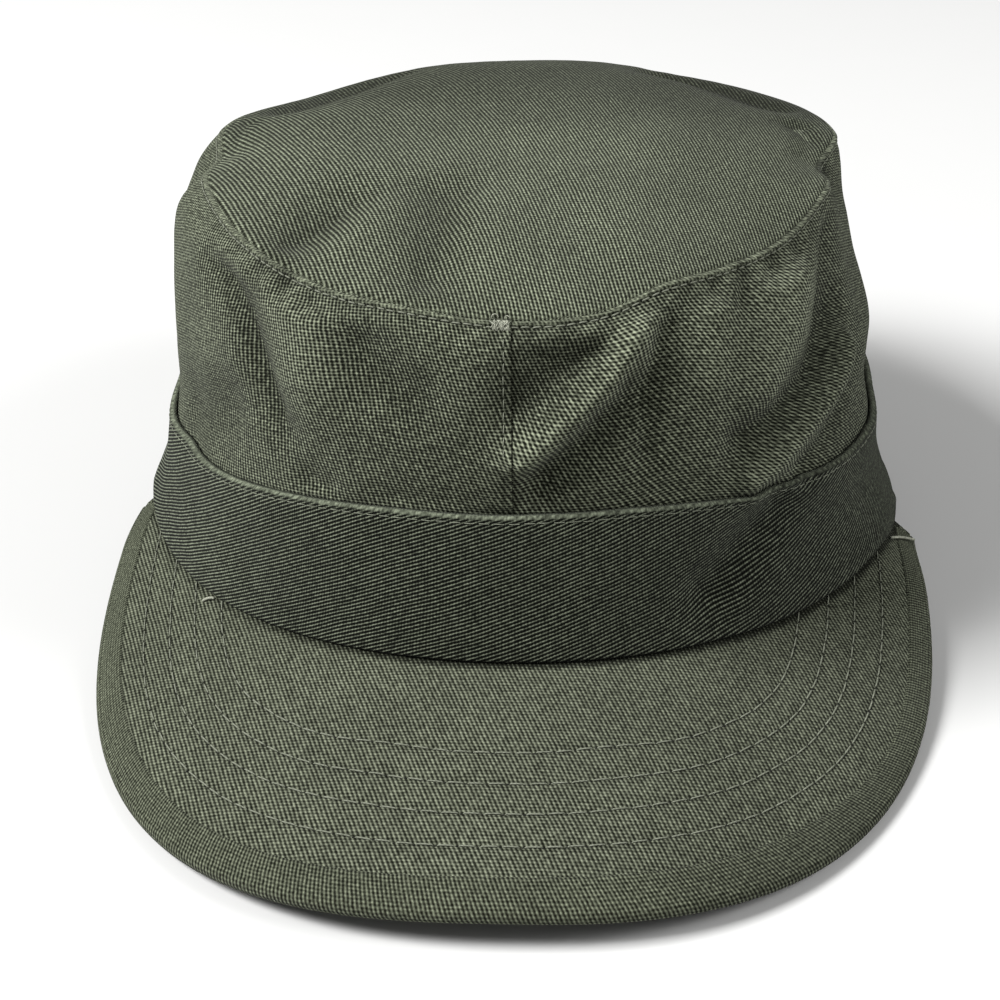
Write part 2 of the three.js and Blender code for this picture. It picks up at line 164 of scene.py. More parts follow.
# Finer creases of the same wall
WALL_CREASES = (
    Fold("left crease", ((-53, 1.95), (-43.5, 1.75), (-38.5, 1.53), (-35.5, 1.4)), 3.0, -1.1),
    Fold("left low dimple", ((-28.5, 1.09), (-25.5, 1.06)), 4.4, -1.2),
    Fold("pucker crease", ((27.6, 1.96), (24.3, 1.83), (22.4, 1.68), (20.8, 1.5), (20, 1.3)), 2.6, -0.7),
    Fold("short crease", ((38.8, 1.96), (38.2, 1.87)), 2.2, -0.6),
    Fold("hollow crease", ((4, 1.9), (15, 1.9)), 4.0, -0.6),
    Fold("ridge crease", ((19.4, 1.75), (15.6, 1.59), (10, 1.41), (4.6, 1.25)), 3.2, -0.9),
    Fold("sag crease", ((57, 1.45), (46, 1.34), (37, 1.24)), 3.4, -0.9),
)

# x and y along the path, half width and how far the top panel stands up
TOP_FOLDS = (
    Fold("front dimple", ((-14, -48), (-15, -86)), 9, -2.2),
    Fold("left dimple", ((-36, -50), (-47, -70)), 9, -2.6),
    Fold("front swell", ((-5, -50), (-6, -84)), 7, 0.9),
    Fold("left swell", ((-27, -52), (-36, -74)), 6.5, 1.0),
    Fold("back left trough", ((-60, 26), (-38, 66)), 8, -2.6),
    Fold("back right trough", ((62, 28), (34, 68)), 8, -3.0),
)

# Finer creases of the same panel
TOP_CREASES = (
    Fold("front crease", ((-13, -55), (-16, -84)), 3.0, -0.6),
    Fold("left crease", ((-38, -54), (-49, -72)), 3.0, -0.7),
    Fold("right corner hollow", ((69, -10), (63, 6)), 4.0, -1.8),
    Fold("right corner crease", ((66, 8), (70, 22)), 2.6, -1.0),
    Fold("left corner notch", ((-69, -6), (-66, 10)), 2.6, -0.9),
)


@dataclass(frozen=True)
class Pinch:
    """A place where the crown seam is drawn in and down, with its reach in degrees either way."""

    azimuth: float
    reach: float
    inward: float
    down: float

    def at(self, azimuth: Array) -> Array:
        """Return how far places lie inside the pinch, from 0 to 1."""
        return 1.0 - smoothstep(np.abs(azimuth - self.azimuth), 0.0, self.reach)


SEAM_PINCHES = (Pinch(79.0, 13.0, 4.5, 2.5), Pinch(-84.0, 12.0, 2.5, 1.2))


def smoothstep(value: Numbers, start: float, end: float) -> Array:
    """Return the smooth step from 0 at start to 1 at end."""
    share = np.clip((value - start) / (end - start), 0.0, 1.0)
    return share * share * (3.0 - 2.0 * share)


def lerp(low: Numbers, high: Numbers, share: Numbers) -> Array:
    """Return the place at a share of the way from low to high."""
    return low + (high - low) * share


def bell(value: Array, middle: float, width: Numbers) -> Array:
    """Return a bell curve of height 1 over middle."""
    return np.exp(-(((value - middle) / width) ** 2))


def unit(vectors: Array) -> Array:
    """Return the vectors on the last axis at length 1."""
    return vectors / np.maximum(np.linalg.norm(vectors, axis=-1, keepdims=True), ALMOST_NOTHING)


def together(*values: Numbers) -> Sequence[Array]:
    """Return values as arrays of one shape."""
    return np.broadcast_arrays(*(np.asarray(value, float) for value in values))


def repeated(rows: Sequence[float], columns: int) -> Array:
    """Return a grid whose columns are all alike."""
    return np.repeat(np.array(rows)[:, None], columns, axis=1)


def wrapped(grid: Array) -> Array:
    """Return a grid whose first column is repeated at its end."""
    return np.concatenate([grid, grid[:, :1]], axis=1)


def run_across(points: Array) -> Array:
    """Return how far along a line of points each one lies."""
    steps = np.linalg.norm(np.diff(points, axis=0), axis=-1)
    return np.concatenate([[0.0], np.cumsum(steps)])


def around(columns: int) -> Array:
    """Return azimuths evenly round the cap, from the middle of the back."""
    return -HALF_TURN + np.arange(columns) * FULL_TURN / columns


def along_table(rows: Sequence, place: Array, turn: float = 0.0) -> Array:
    """Read every column of a table along a smooth curve through its rows.

    Args:
        rows: The table, whose first column holds the places of its rows.
        place: The places to read it at.
        turn: What a table that closes on itself adds at each lap, or 0.

    Returns:
        The other columns at each place, on a last axis.
    """
    table = np.asarray(rows, float)
    keys, values = table[:, 0], table[:, 1:]
    if turn:
        keys = np.concatenate([keys[-2:] - turn, keys, keys[:2] + turn])
        values = np.concatenate([values[-2:], values, values[:2]])
    else:
        keys = np.concatenate([keys[:1], keys, keys[-1:]])
        values = np.concatenate([values[:1], values, values[-1:]])
    place = np.asarray(place, float)
    index = np.clip(np.searchsorted(keys, place, side="right") - 1, 1, len(keys) - 3)
    span = (keys[index + 1] - keys[index])[..., None]
    t = np.clip((place - keys[index])[..., None] / span, 0.0, 1.0)
    leave = (values[index + 1] - values[index - 1]) / (keys[index + 1] - keys[index - 1])[..., None] * span
    arrive = (values[index + 2] - values[index]) / (keys[index + 2] - keys[index])[..., None] * span
    return (
        (2 * t**3 - 3 * t**2 + 1) * values[index] + (t**3 - 2 * t**2 + t) * leave
        + (3 * t**2 - 2 * t**3) * values[index + 1] + (t**3 - t**2) * arrive
    )


def under_ridge(x: Array, y: Array, path: Sequence[Pair], width: float) -> Array:
    """Find how far points lie under a soft ridge.

    Args:
        x: Places across the cloth.
        y: Places up the cloth.
        path: The corners of the ridge's line.
        width: Its half width.

    Returns:
        From 0 far from the ridge to 1 under its line.
    """
    near = np.zeros(np.shape(x))
    for start, end in zip(path, path[1:]):
        dx, dy = end[0] - start[0], end[1] - start[1]
        along = np.clip(((x - start[0]) * dx + (y - start[1]) * dy) / (dx * dx + dy * dy), 0.0, 1.0)
        away = np.hypot(x - start[0] - along * dx, y - start[1] - along * dy)
        near = near + (away + NEAREST) ** -JOINT_SHARPNESS
    return bell(near ** (-1.0 / JOINT_SHARPNESS), 0.0, width)


def raised(x: Array, y: Array, folds: Sequence[Fold]) -> Array:
    """Return how far folds together raise a cloth."""
    return sum(fold.out * under_ridge(x, y, fold.path, fold.width) for fold in folds)


def ripple(x: Array, y: Array, waves: Waves) -> Array:
    """Return a sum of slow waves, each given by its height, its turns across and up, and its start."""
    return sum(height * np.sin(x * across + y * up + start) for height, across, up, start in waves)


@dataclass(frozen=True)
class Span:
    """A stretch of a measure, with a soft start, a soft end or both."""

    start: Pair | None = None
    end: Pair | None = None

    def at(self, value: Numbers) -> Numbers:
        """Find how far values lie inside the stretch.

        Args:
            value: Places along the measure.

        Returns:
            1 inside, 0 outside, and between them where an end is soft.
        """
        share = 1.0
        if self.start is not None:
            share = share * smoothstep(value, *self.start)
        if self.end is not None:
            share = share * (1.0 - smoothstep(value, *self.end))
        return share


@dataclass(frozen=True)
class Spot:
    """The neighbourhood of one place on a measure."""

    middle: float
    width: float

    def at(self, value: Numbers) -> Numbers:
        """Return how near values lie to the middle, from 0 to 1."""
        return bell(value, self.middle, self.width)


@dataclass(frozen=True)
class Touch:
    """An amount of height or tone that a cloth takes over a soft-edged part, by one or two measures."""

    amount: float
    first: Span | Spot = Span()
    second: Span | Spot = Span()

    def at(self, first: Numbers, second: Numbers = 0.0) -> Numbers:
        """Return the amount at places, given by both measures."""
        return self.amount * self.first.at(first) * self.second.at(second)


def touched(touches: Sequence[Touch], first: Numbers, second: Numbers = 0.0) -> Numbers:
    """Return what several touches add together."""
    return sum(touch.at(first, second) for touch in touches)


@dataclass(frozen=True)
class Pucker:
    """Small uneven waves along a seam, whose turns are in radians for each millimetre."""

    turn: float
    stray: float
    stray_turn: float
    swell: float = 0.0
    swell_turn: float = 0.0
    swell_start: float = 0.0

    def at(self, along: Array) -> Array:
        """Return the waves' height, which is at most 1."""
        wave = np.sin(along * self.turn + self.stray * np.sin(along * self.stray_turn))
        return wave * (1.0 - self.swell + self.swell * np.sin(along * self.swell_turn + self.swell_start))


@dataclass(frozen=True)
class CapForm:
    """The cap's shape, worked out from the named values above."""

    taper_left: float = 0.023
    taper_right: float = 0.03
    taper_at_hem: float = 0.3
    taper_behind: Span = Span(start=(68.0, 84.0))
    taper_below: Span = Span(end=(BAND_TOP, 1.3))
    hem_rise_left: float = 11.0
    hem_rise_right: float = 8.0
    hem_high: Span = Span(end=(92.0, 150.0))
    past_visor: Span = Span(start=(1.0, 12.0))
    flat_radius: float = 92.0
    flat_band: float = 32.0
    flat_crown: float = 46.0
    wall_folded: Span = Span(end=(1.84, 1.94))
    top_folded: Span = Span(end=(0.86, 0.98))
    wall_pinched: Span = Span(start=(1.72, CROWN))
    top_pinched: Span = Span(start=(0.8, 1.0))
    wall_square: Span = Span(start=(BAND_TOP, 1.2))
    top_middle: float = 101.4
    probe_azimuth: float = 0.5
    probe_level: float = 0.01
    level_steps: int = 240
    length_steps: int = 120

    visor_middle: float = -0.3
    visor_half_width: float = 92.7
    visor_widest: float = -43.6
    visor_reach: float = 122.9
    visor_squareness: float = 2.35
    visor_ridge: float = 43.1
    visor_bend: float = 211.0
    visor_slope: float = 11.5
    visor_ends: Pair = (-75.0, 76.0)
    visor_tuck: float = 4.0
    tail_share: float = 0.1
    tail_length: float = 14.0
    tail_left: float = 2.4
    tail_right: float = 0.6
    visor_droop: Touch = Touch(6.5, Span(start=(-58.0, -18.0)), Span(start=(54.0, 92.0)))
    rim_roll: float = 1.2
    rim_roll_width: float = 11.0

    def visor_top(self, x: Array, y: Array) -> Array:
        """Work out the height of the visor's upper face, before its rim is rolled.

        Args:
            x: Places across the visor.
            y: Places from front to back.

        Returns:
            The height at each place.
        """
        bend = self.visor_bend - np.sqrt(self.visor_bend**2 - x * x)
        rise = math.tan(math.radians(self.visor_slope)) * y
        return self.visor_ridge - bend + rise - self.visor_droop.at(y, x)

    def visor_outline(self, place: Array) -> Array:
        """Work out the visor's outline in plan.

        Args:
            place: From -1 at the left through 0 at the tip to 1 at the right, and a little past these.

        Returns:
            The x and y of each place, on a last axis.
        """
        angle = np.radians(90.0 * np.clip(place, -1.0, 1.0))
        power = 2.0 / self.visor_squareness
        x = self.visor_middle + self.visor_half_width * np.sign(angle) * np.abs(np.sin(angle)) ** power
        y = self.visor_widest - self.visor_reach * np.abs(np.cos(angle)) ** power
        tail = np.maximum(np.abs(place) - 1.0, 0.0) / self.tail_share
        inward = np.where(place < 0, self.tail_left, self.tail_right)
        return np.stack([x + inward * tail * tail, y + self.tail_length * tail], axis=-1)

    def visor_back(self, azimuth: Array) -> Array:
        """Work out the visor's back edge in plan, tucked in under the wall.

        Args:
            azimuth: Places round the cap.

        Returns:
            The x and y of each place, on a last axis.
        """
        angle = np.radians(azimuth)
        inset = PANEL_CLOTH + self.visor_tuck
        return np.stack([(HEM_LEFT - inset) * np.sin(angle), -(HEM_FRONT - inset) * np.cos(angle)], axis=-1)

    def hem(self, azimuth: Array, x: Array, y: Array) -> Array:
        """Work out the wall's bottom edge, on the visor in front and on the table behind.

        Args:
            azimuth: Places round the cap.
            x: Where they lie across.
            y: Where they lie from front to back.

        Returns:
            The edge's height at each place.
        """
        rise = np.where(azimuth < 0, self.hem_rise_left, self.hem_rise_right)
        behind = rise * self.hem_high.at(np.abs(azimuth))
        end = np.where(azimuth < 0, -self.visor_ends[0], self.visor_ends[1])
        return lerp(self.visor_top(x, y) + GAP, behind, self.past_visor.at(np.abs(azimuth) - end))

    def back_taper(self, azimuth: Array, level: Array) -> Array:
        """Work out by how much the wall draws in behind its middle.

        Args:
            azimuth: Places round the cap.
            level: Places up the wall.

        Returns:
            The share of its half width that it loses.
        """
        height = np.minimum(lerp(self.taper_at_hem, 1.0, level), self.taper_below.at(level))
        share = np.where(azimuth < 0, self.taper_left, self.taper_right)
        return share * height * self.taper_behind.at(np.abs(azimuth))

    def smooth_wall(self, azimuth: Numbers, level: Numbers) -> Array:
        """Work out points of the side panels' face without folds.

        Args:
            azimuth: Places round the cap.
            level: Places up the wall.

        Returns:
            The points, on a last axis.
        """
        azimuth, level = together(azimuth, level)
        angle = np.radians(azimuth)
        left, right, front, back = np.moveaxis(along_table(GIRTHS, level), -1, 0)
        sideways = lerp(left, right, 0.5 + 0.5 * np.sin(angle)) * (1.0 - self.back_taper(azimuth, level))
        x = sideways * np.sin(angle)
        y = -np.where(np.cos(angle) > 0, front, back) * np.cos(angle)
        band_top, seam = np.moveaxis(along_table(HEIGHTS, azimuth, FULL_TURN), -1, 0)
        lower = lerp(self.hem(azimuth, x, y), band_top, level)
        z = np.where(level < BAND_TOP, lower, lerp(band_top, seam, level - BAND_TOP))
        return np.stack([x, y, z], axis=-1)

    def wall_normal(self, azimuth: Array, level: Array) -> Array:
        """Work out the wall's outward direction, level at the band and square to the wall above it.

        Args:
            azimuth: Places round the cap.
            level: Places up the wall.

        Returns:
            The direction at each place, on a last axis.
        """
        up = np.minimum(level + self.probe_level, CROWN)
        step = self.probe_azimuth
        across = self.smooth_wall(azimuth + step, level) - self.smooth_wall(azimuth - step, level)
        rise = self.smooth_wall(azimuth, up) - self.smooth_wall(azimuth, up - 2 * self.probe_level)
        normal = unit(np.cross(across, rise))
        normal[..., 2] *= self.wall_square.at(level)
        return unit(normal)

    def flat(self, azimuth: Numbers, level: Numbers) -> tuple[Numbers, Numbers]:
        """Return where wall points lie across and up on the wall laid flat."""
        rise = np.where(np.asarray(level) < BAND_TOP, self.flat_band, self.flat_crown)
        return np.radians(azimuth) * self.flat_radius, (np.asarray(level) - BAND_TOP) * rise

    def folds(self, azimuth: Array, level: Array, folds: Sequence[Fold]) -> Array:
        """Return how far folds together push the wall out."""
        laid = [replace(fold, path=tuple(self.flat(*point) for point in fold.path)) for fold in folds]
        return raised(*self.flat(azimuth, level), laid) * self.wall_folded.at(level)

    def pinch(self, azimuth: Array) -> tuple[Array, Array]:
        """Work out how far the crown seam is pinched.

        Args:
            azimuth: Places round the cap.

        Returns:
            How far it is drawn in at each place, and how far down.
        """
        inward = sum(pinch.at(azimuth) * pinch.inward for pinch in SEAM_PINCHES)
        down = sum(pinch.at(azimuth) * pinch.down for pinch in SEAM_PINCHES)
        return inward, down

    def wall(self, azimuth: Numbers, level: Numbers, out: Numbers) -> Array:
        """Work out points of the wall, moved out from the side panels' face.

        Args:
            azimuth: Places round the cap.
            level: Places up the wall.
            out: How far the points stand out from the face.

        Returns:
            The points, on a last axis.
        """
        azimuth, level = together(azimuth, level)
        away = out + self.folds(azimuth, level, WALL_FOLDS)
        point = self.smooth_wall(azimuth, level) + self.wall_normal(azimuth, level) * away[..., None]
        band_top = along_table(HEIGHTS, azimuth, FULL_TURN)[..., 0]
        low = lerp(self.hem(azimuth, point[..., 0], point[..., 1]), band_top, level)
        point[..., 2] = np.where(level < BAND_TOP, low, point[..., 2])
        inward, down = self.pinch(azimuth)
        share = self.wall_pinched.at(level)
        point[..., :2] -= unit(point[..., :2]) * (inward * share)[..., None]
        point[..., 2] -= down * share
        return point

    def top(self, azimuth: Numbers, share: Numbers, under: Numbers) -> Array:
        """Work out points of the top panel.

        Args:
            azimuth: Places round the cap.
            share: Their share of the way from the panel's middle to the crown seam.
            under: How far under the panel's face they lie.

        Returns:
            The points, on a last axis.
        """
        azimuth, share = together(azimuth, share)
        seam = self.smooth_wall(azimuth, np.full_like(azimuth, CROWN))
        inward, down = self.pinch(azimuth)
        pinched = self.top_pinched.at(share)
        flat = seam[..., :2] * share[..., None] - unit(seam[..., :2]) * (inward * pinched)[..., None]
        z = lerp(self.top_middle, seam[..., 2], share**3) - down * pinched
        z = z + self.top_folded.at(share) * raised(flat[..., 0], flat[..., 1], TOP_FOLDS)
        return np.concatenate([flat, (z - under)[..., None]], axis=-1)

    def levels_below_seam(self, azimuths: Array, distances: Array) -> Array:
        """Find the levels of points that lie some way down the wall from the crown seam.

        Args:
            azimuths: One azimuth for each column.
            distances: How far down the wall each row's points lie, one column for each azimuth.

        Returns:
            The level of each point.
        """
        dense = np.linspace(CROWN, HEM, self.level_steps + 1)
        line = self.smooth_wall(azimuths[None, :], dense[:, None])
        run = np.concatenate([
            np.zeros((1, len(azimuths))),
            np.cumsum(np.linalg.norm(np.diff(line, axis=0), axis=-1), axis=0),
        ])
        return np.stack([
            np.interp(distances[:, column], run[:, column], dense) for column in range(len(azimuths))
        ], axis=1)

    def wall_length(self, azimuths: Array, level: float) -> Array:
        """Find how far below the crown seam a level lies.

        Args:
            azimuths: Places round the cap.
            level: The level.

        Returns:
            The distance down the wall at each azimuth.
        """
        dense = np.linspace(CROWN, level, self.length_steps + 1)
        line = self.smooth_wall(azimuths[None, :], dense[:, None])
        return np.linalg.norm(np.diff(line, axis=0), axis=-1).sum(axis=0)


FORM = CapForm()


class Layer(Enum):
    """What a mesh carries besides its shape."""

    CLOTH = "cloth"
    # painted light and shade, added to the cloth's colour
    PAINTED_LIGHT_AND_SHADE = "tone"
    CALM = "calm"


@dataclass
class Mesh:
    """Collects points, faces and cloth coordinates, and makes a Blender piece of them.

    The shift is where the head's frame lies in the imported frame, in millimetres.
    """

    name: str
    shift: Array
    points: list[Array] = field(default_factory=list)
    tones: list[Array] = field(default_factory=list)
    calms: list[Array] = field(default_factory=list)
    faces: list[list[int]] = field(default_factory=list)
    corners: list[Array] = field(default_factory=list)
    slots: list[int] = field(default_factory=list)
    count: int = 0

    def add(self, points: Array, tone: Numbers = 0.0, calm: Numbers = 0.0) -> Array:
        """Add points.

        Args:
            points: Their places, on a last axis.
            tone: The painted light and shade at each, lighter above 0 and darker below.
            calm: How far the weave is smoothed away at each, from 0 to 1.

        Returns:
            Their numbers in the same layout.
        """
        shape = points.shape[:-1]
        size = int(np.prod(shape))
        self.points.append(points.reshape(-1, 3))
        self.tones.append(np.broadcast_to(np.asarray(tone, float), shape).reshape(-1))
        self.calms.append(np.broadcast_to(np.asarray(calm, float), shape).reshape(-1))
        ids = np.arange(self.count, self.count + size).reshape(shape)
        self.count += size
        return ids

    def quads(self, ids: Array, cloth: Array, flip: bool = False) -> None:
        """Join a grid of points with four-sided faces.

        Args:
            ids: Numbers of the points; rows go up and columns go to the right on the outside.
            cloth: Cloth coordinates of the same grid, in millimetres.
            flip: Whether the grid is seen from its other side.
        """
        order = [(0, 0), (0, 1), (1, 1), (1, 0)]
        if flip:
            order = order[::-1]
        rows, columns = ids.shape
        pick = [(slice(r, rows - 1 + r), slice(c, columns - 1 + c)) for r, c in order]
        faces = np.stack([ids[p] for p in pick], axis=-1).reshape(-1, 4)
        self.faces.extend(faces.tolist())
        self.corners.append(np.stack([cloth[p] for p in pick], axis=-2).reshape(-1, 2))
        self.slots.extend([0] * len(faces))

    def rolled(self, ids: Array, cloth: Array) -> None:
        """Join a grid of points whose last row meets its first again."""
        self.quads(np.concatenate([ids, ids[:1]]), np.concatenate([cloth, cloth[:1]]))

    def skin(self, points: Array, cloth: Array, tone: Numbers, calm: Numbers = 0.0) -> None:
        """Add a closed cloth, from rows of points that run once round its section.

        Args:
            points: The rows.
            cloth: Cloth coordinates of the same grid.
            tone: The painted light and shade at each point, lighter above 0 and darker below.
            calm: How far the weave is smoothed away at each, from 0 to 1.
        """
        ids = self.add(points, tone, calm)
        self.rolled(ids, cloth)
        self.polygon(ids[:, 0][::-1], cloth[:, 0][::-1])
        self.polygon(ids[:, -1], cloth[:, -1])

    def fan(self, middle: int, ring: Array, cloth_middle: Array, cloth: Array,
            flip: bool = False, slot: int = 0) -> None:
        """Join one point with each side of a ring whose last point repeats its first.

        Args:
            middle: The point's number.
            ring: Numbers of the ring's points.
            cloth_middle: The middle's cloth coordinates.
            cloth: The ring's cloth coordinates.
            flip: Whether the fan is seen from its other side.
            slot: Which of the piece's materials the faces take.
        """
        for k in range(len(ring) - 1):
            pair = (k + 1, k) if flip else (k, k + 1)
            self.faces.append([int(middle), int(ring[pair[0]]), int(ring[pair[1]])])
            self.corners.append(np.stack([cloth_middle, cloth[pair[0]], cloth[pair[1]]]))
            self.slots.append(slot)

    def polygon(self, ids: Sequence[int], cloth: Array) -> None:
        """Add one face with many sides.

        Args:
            ids: Numbers of its points.
            cloth: Their cloth coordinates.
        """
        self.faces.append([int(i) for i in ids])
        self.corners.append(np.asarray(cloth, float))
        self.slots.append(0)

    def piece(self, *materials: bpy.types.Material) -> bpy.types.Object:
        """Make the Blender piece.

        Args:
            materials: The piece's materials, in the order of its slots.

        Returns:
            The piece, at the origin, with its place in its mesh.
        """
        points = (np.concatenate(self.points) + self.shift) * METRE
        mesh = bpy.data.meshes.new(self.name)
        mesh.from_pydata(points.tolist(), [], self.faces)
        layer = mesh.uv_layers.new(name=Layer.CLOTH.value)
        layer.data.foreach_set("uv", (np.concatenate(self.corners) * METRE).astype(np.float32).ravel())
        for attribute, values in ((Layer.PAINTED_LIGHT_AND_SHADE, self.tones), (Layer.CALM, self.calms)):
            made = mesh.attributes.new(attribute.value, "FLOAT", "POINT")
            made.data.foreach_set("value", np.concatenate(values).astype(np.float32))
        mesh.polygons.foreach_set("use_smooth", [True] * len(self.faces))
        mesh.polygons.foreach_set("material_index", self.slots)
        for material in materials:
            mesh.materials.append(material)
        mesh.update()
        piece = bpy.data.objects.new(self.name, mesh)
        bpy.context.scene.collection.objects.link(piece)
        return piece


class Value:
    """A number that varies over a surface, for use in plain expressions."""

    def __init__(self, shader: "Shader", socket: bpy.types.NodeSocket) -> None:
        """Wrap one output socket of a material's nodes."""
        self.shader = shader
        self.socket = socket

    def math(self, operation: str, *others: "Value | float") -> "Value":
        """Return a Math node's result on this value and the others."""
        sockets = {index + 1: other for index, other in enumerate(others)}
        return self.shader.node("ShaderNodeMath", {"operation": operation}, {0: self, **sockets})

    def __add__(self, other: "Value | float") -> "Value":
        """Return the sum."""
        return self.math("ADD", other)

    __radd__ = __add__

    def __mul__(self, other: "Value | float") -> "Value":
        """Return the product."""
        return self.math("MULTIPLY", other)

    __rmul__ = __mul__

    def __sub__(self, other: "Value | float") -> "Value":
        """Return the difference."""
        return self.math("SUBTRACT", other)

    def __rsub__(self, other: float) -> "Value":
        """Return the number less this value."""
        return self.shader.node("ShaderNodeMath", {"operation": "SUBTRACT"}, {0: other, 1: self})

    def wave(self) -> "Value":
        """Return the cosine of this many turns, from -1 to 1."""
        return (self * math.tau).math("COSINE")


class Shader:
    """Builds one material's nodes."""

    def __init__(self, name: str) -> None:
        """Start a material with its surface shader.

        Args:
            name: The material's name.
        """
        self.material = bpy.data.materials.new(name)
        self.material.use_nodes = True
        self.tree = self.material.node_tree
        self.surface = self.tree.nodes["Principled BSDF"]

    def put(self, socket: bpy.types.NodeSocket, value: object) -> None:
        """Give a socket its value.

        Args:
            socket: The socket.
            value: A link or a constant.
        """
        if isinstance(value, Value):
            self.tree.links.new(value.socket, socket)
        else:
            socket.default_value = value

    def give(self, **inputs: object) -> None:
        """Give the surface shader links or constants, by its sockets' names with _ for a space."""
        for name, value in inputs.items():
            self.put(self.surface.inputs[name.replace("_", " ")], value)

    def node(self, kind: str, settings: dict[str, object] | None = None,
             inputs: dict[int | str, object] | None = None, output: int | str = 0) -> Value:
        """Add one node.

        Args:
            kind: The node's type.
            settings: Its properties; a ramp's "stops" are pairs of a place and a colour.
            inputs: What its sockets take, links or constants.
            output: Which output is wanted.

        Returns:
            That output.
        """
        made = self.tree.nodes.new(kind)
        for key, value in (settings or {}).items():
            if key == "stops":
                for element, (place, colour) in zip(made.color_ramp.elements, value):
                    element.position = place
                    element.color = colour
            else:
                setattr(made, key, value)
        for key, value in (inputs or {}).items():
            self.put(made.inputs[key], value)
        return Value(self, made.outputs[output])

    def vector(self, operation: str, inputs: dict[int | str, object]) -> Value:
        """Return a Vector Math node's result."""
        return self.node("ShaderNodeVectorMath", {"operation": operation}, inputs)

    def noise(self, place: Value, scale: float, detail: float, output: str = "Fac") -> Value:
        """Return soft noise over places, as a number or as three of them in a colour."""
        inputs = {"Vector": place, "Scale": scale, "Detail": detail}
        return self.node("ShaderNodeTexNoise", {}, inputs, output)

    def attribute(self, layer: Layer) -> Value:
        """Return what the mesh carries in one of its layers."""
        return self.node("ShaderNodeAttribute", {"attribute_name": layer.value}, output="Fac")

    def mix(self, blend: str, factor: Value | float, first: object, second: object) -> Value:
        """Blend two colours.

        Args:
            blend: How the second goes over the first.
            factor: How much of it does.
            first: A colour or a link.
            second: A colour or a link.

        Returns:
            The blended colour.
        """
        settings = {"data_type": "RGBA", "blend_type": blend}
        first_colour, second_colour, blended_colour = 6, 7, 2
        inputs = {"Factor": factor, first_colour: first, second_colour: second}
        return self.node("ShaderNodeMix", settings, inputs, blended_colour)

    def bump(self, height: Value, distance: float, strength: float = 1.0) -> None:
        """Let a height raise the surface, at most by a distance in millimetres."""
        inputs = {"Strength": strength, "Distance": distance * METRE, "Height": height}
        self.give(Normal=self.node("ShaderNodeBump", {}, inputs, "Normal"))


def linear(colour: tuple[int, int, int]) -> tuple[float, float, float, float]:
    """Return a screen colour as the linear colour that shaders take."""
    shares = (value / 255 for value in colour)
    return (*(c / 12.92 if c <= 0.04045 else ((c + 0.055) / 1.055) ** 2.4 for c in shares), 1.0)


@dataclass(frozen=True)
class Twill:
    """Cotton twill: raised wales with rows of small dark gaps between them.

    Pitches and noise sizes are in millimetres. The slant is how far a wale moves sideways for each millimetre
    along it, and the skew is how far a row of gaps climbs for each millimetre across it.
    """

    name: str
    wale_pitch: float
    gap_pitch: float
    slant: float
    # The hollow colour is partly the cloth's own and partly painted shade in the gaps between the wales
    crest: tuple[int, int, int]
    hollow: tuple[int, int, int]
    skew: float = 0.0
    lengthways: bool = False
    wale_share: float = 0.4
    gap_share: float = 0.45
    row_share: float = 0.16
    unevenness: float = 1.3
    sharpness: float = 3.1
    relief: float = 0.22
    seed: float = 0.0
    drift: float = 0.4
    drift_scale: float = 0.11
    thread_scale: float = 1.6
    thread_relief: float = 0.45
    fade: float = 0.5
    fade_scale: float = 0.045
    coarse: float = 3.0
    fine: float = 2.0
    roughness: float = 0.98
    roughness_change: float = 0.2
    specular: float = 0.05
    sheen: float = 0.03
    sheen_roughness: float = 0.6

    def material(self) -> bpy.types.Material:
        """Make the cloth's material, on the piece's own cloth map.

        Returns:
            The material.
        """
        shader = Shader(self.name)
        place = shader.node("ShaderNodeUVMap", {"uv_map": Layer.CLOTH.value}, output="UV")
        place = shader.vector("SCALE", {0: place, "Scale": 1.0 / METRE})
        shifted = shader.vector("ADD", {0: place, 1: (self.seed, self.seed, self.seed)})
        drift = shader.noise(shifted, self.drift_scale, self.coarse, "Color")
        drift = shader.vector("SUBTRACT", {0: drift, 1: (0.5, 0.5, 0.5)})
        drift = shader.vector("SCALE", {0: drift, "Scale": self.drift})
        woven = shader.vector("ADD", {0: place, 1: drift})
        across = shader.node("ShaderNodeSeparateXYZ", {}, {0: woven}, "X")
        up = shader.node("ShaderNodeSeparateXYZ", {}, {0: woven}, "Y")
        if self.lengthways:
            across, up = up, across
        wale = ((across + up * self.slant) * (1.0 / self.wale_pitch)).wave()
        gap = ((up + across * self.skew) * (1.0 / self.gap_pitch)).wave()
        between_wales = 0.5 - wale * 0.5
        thread = shader.noise(shifted, self.thread_scale, self.fine) - 0.5
        level = wale * self.wale_share - gap * between_wales * self.gap_share
        level = level - gap * (1.0 - between_wales) * self.row_share
        level = 0.5 + level * (1.0 - shader.attribute(Layer.CALM))
        # The tone layer's painted light and shade lightens or darkens the cloth's colour here
        shown = (level + thread * self.unevenness + shader.attribute(Layer.PAINTED_LIGHT_AND_SHADE)).math("MAXIMUM", 0.0)
        shown = shown.math("POWER", self.sharpness)
        colour = shader.mix("MIX", shown, linear(self.hollow), linear(self.crest))
        faded = shader.noise(shifted, self.fade_scale, self.coarse) * self.fade + (1.0 - 0.5 * self.fade)
        shader.give(
            Base_Color=shader.mix("MULTIPLY", 1.0, colour, faded),
            Roughness=self.roughness - thread * self.roughness_change,
            Specular_IOR_Level=self.specular,
            Sheen_Weight=self.sheen,
            Sheen_Roughness=self.sheen_roughness,
        )
        shader.bump(level + thread * self.thread_relief, self.relief)
        return shader.material


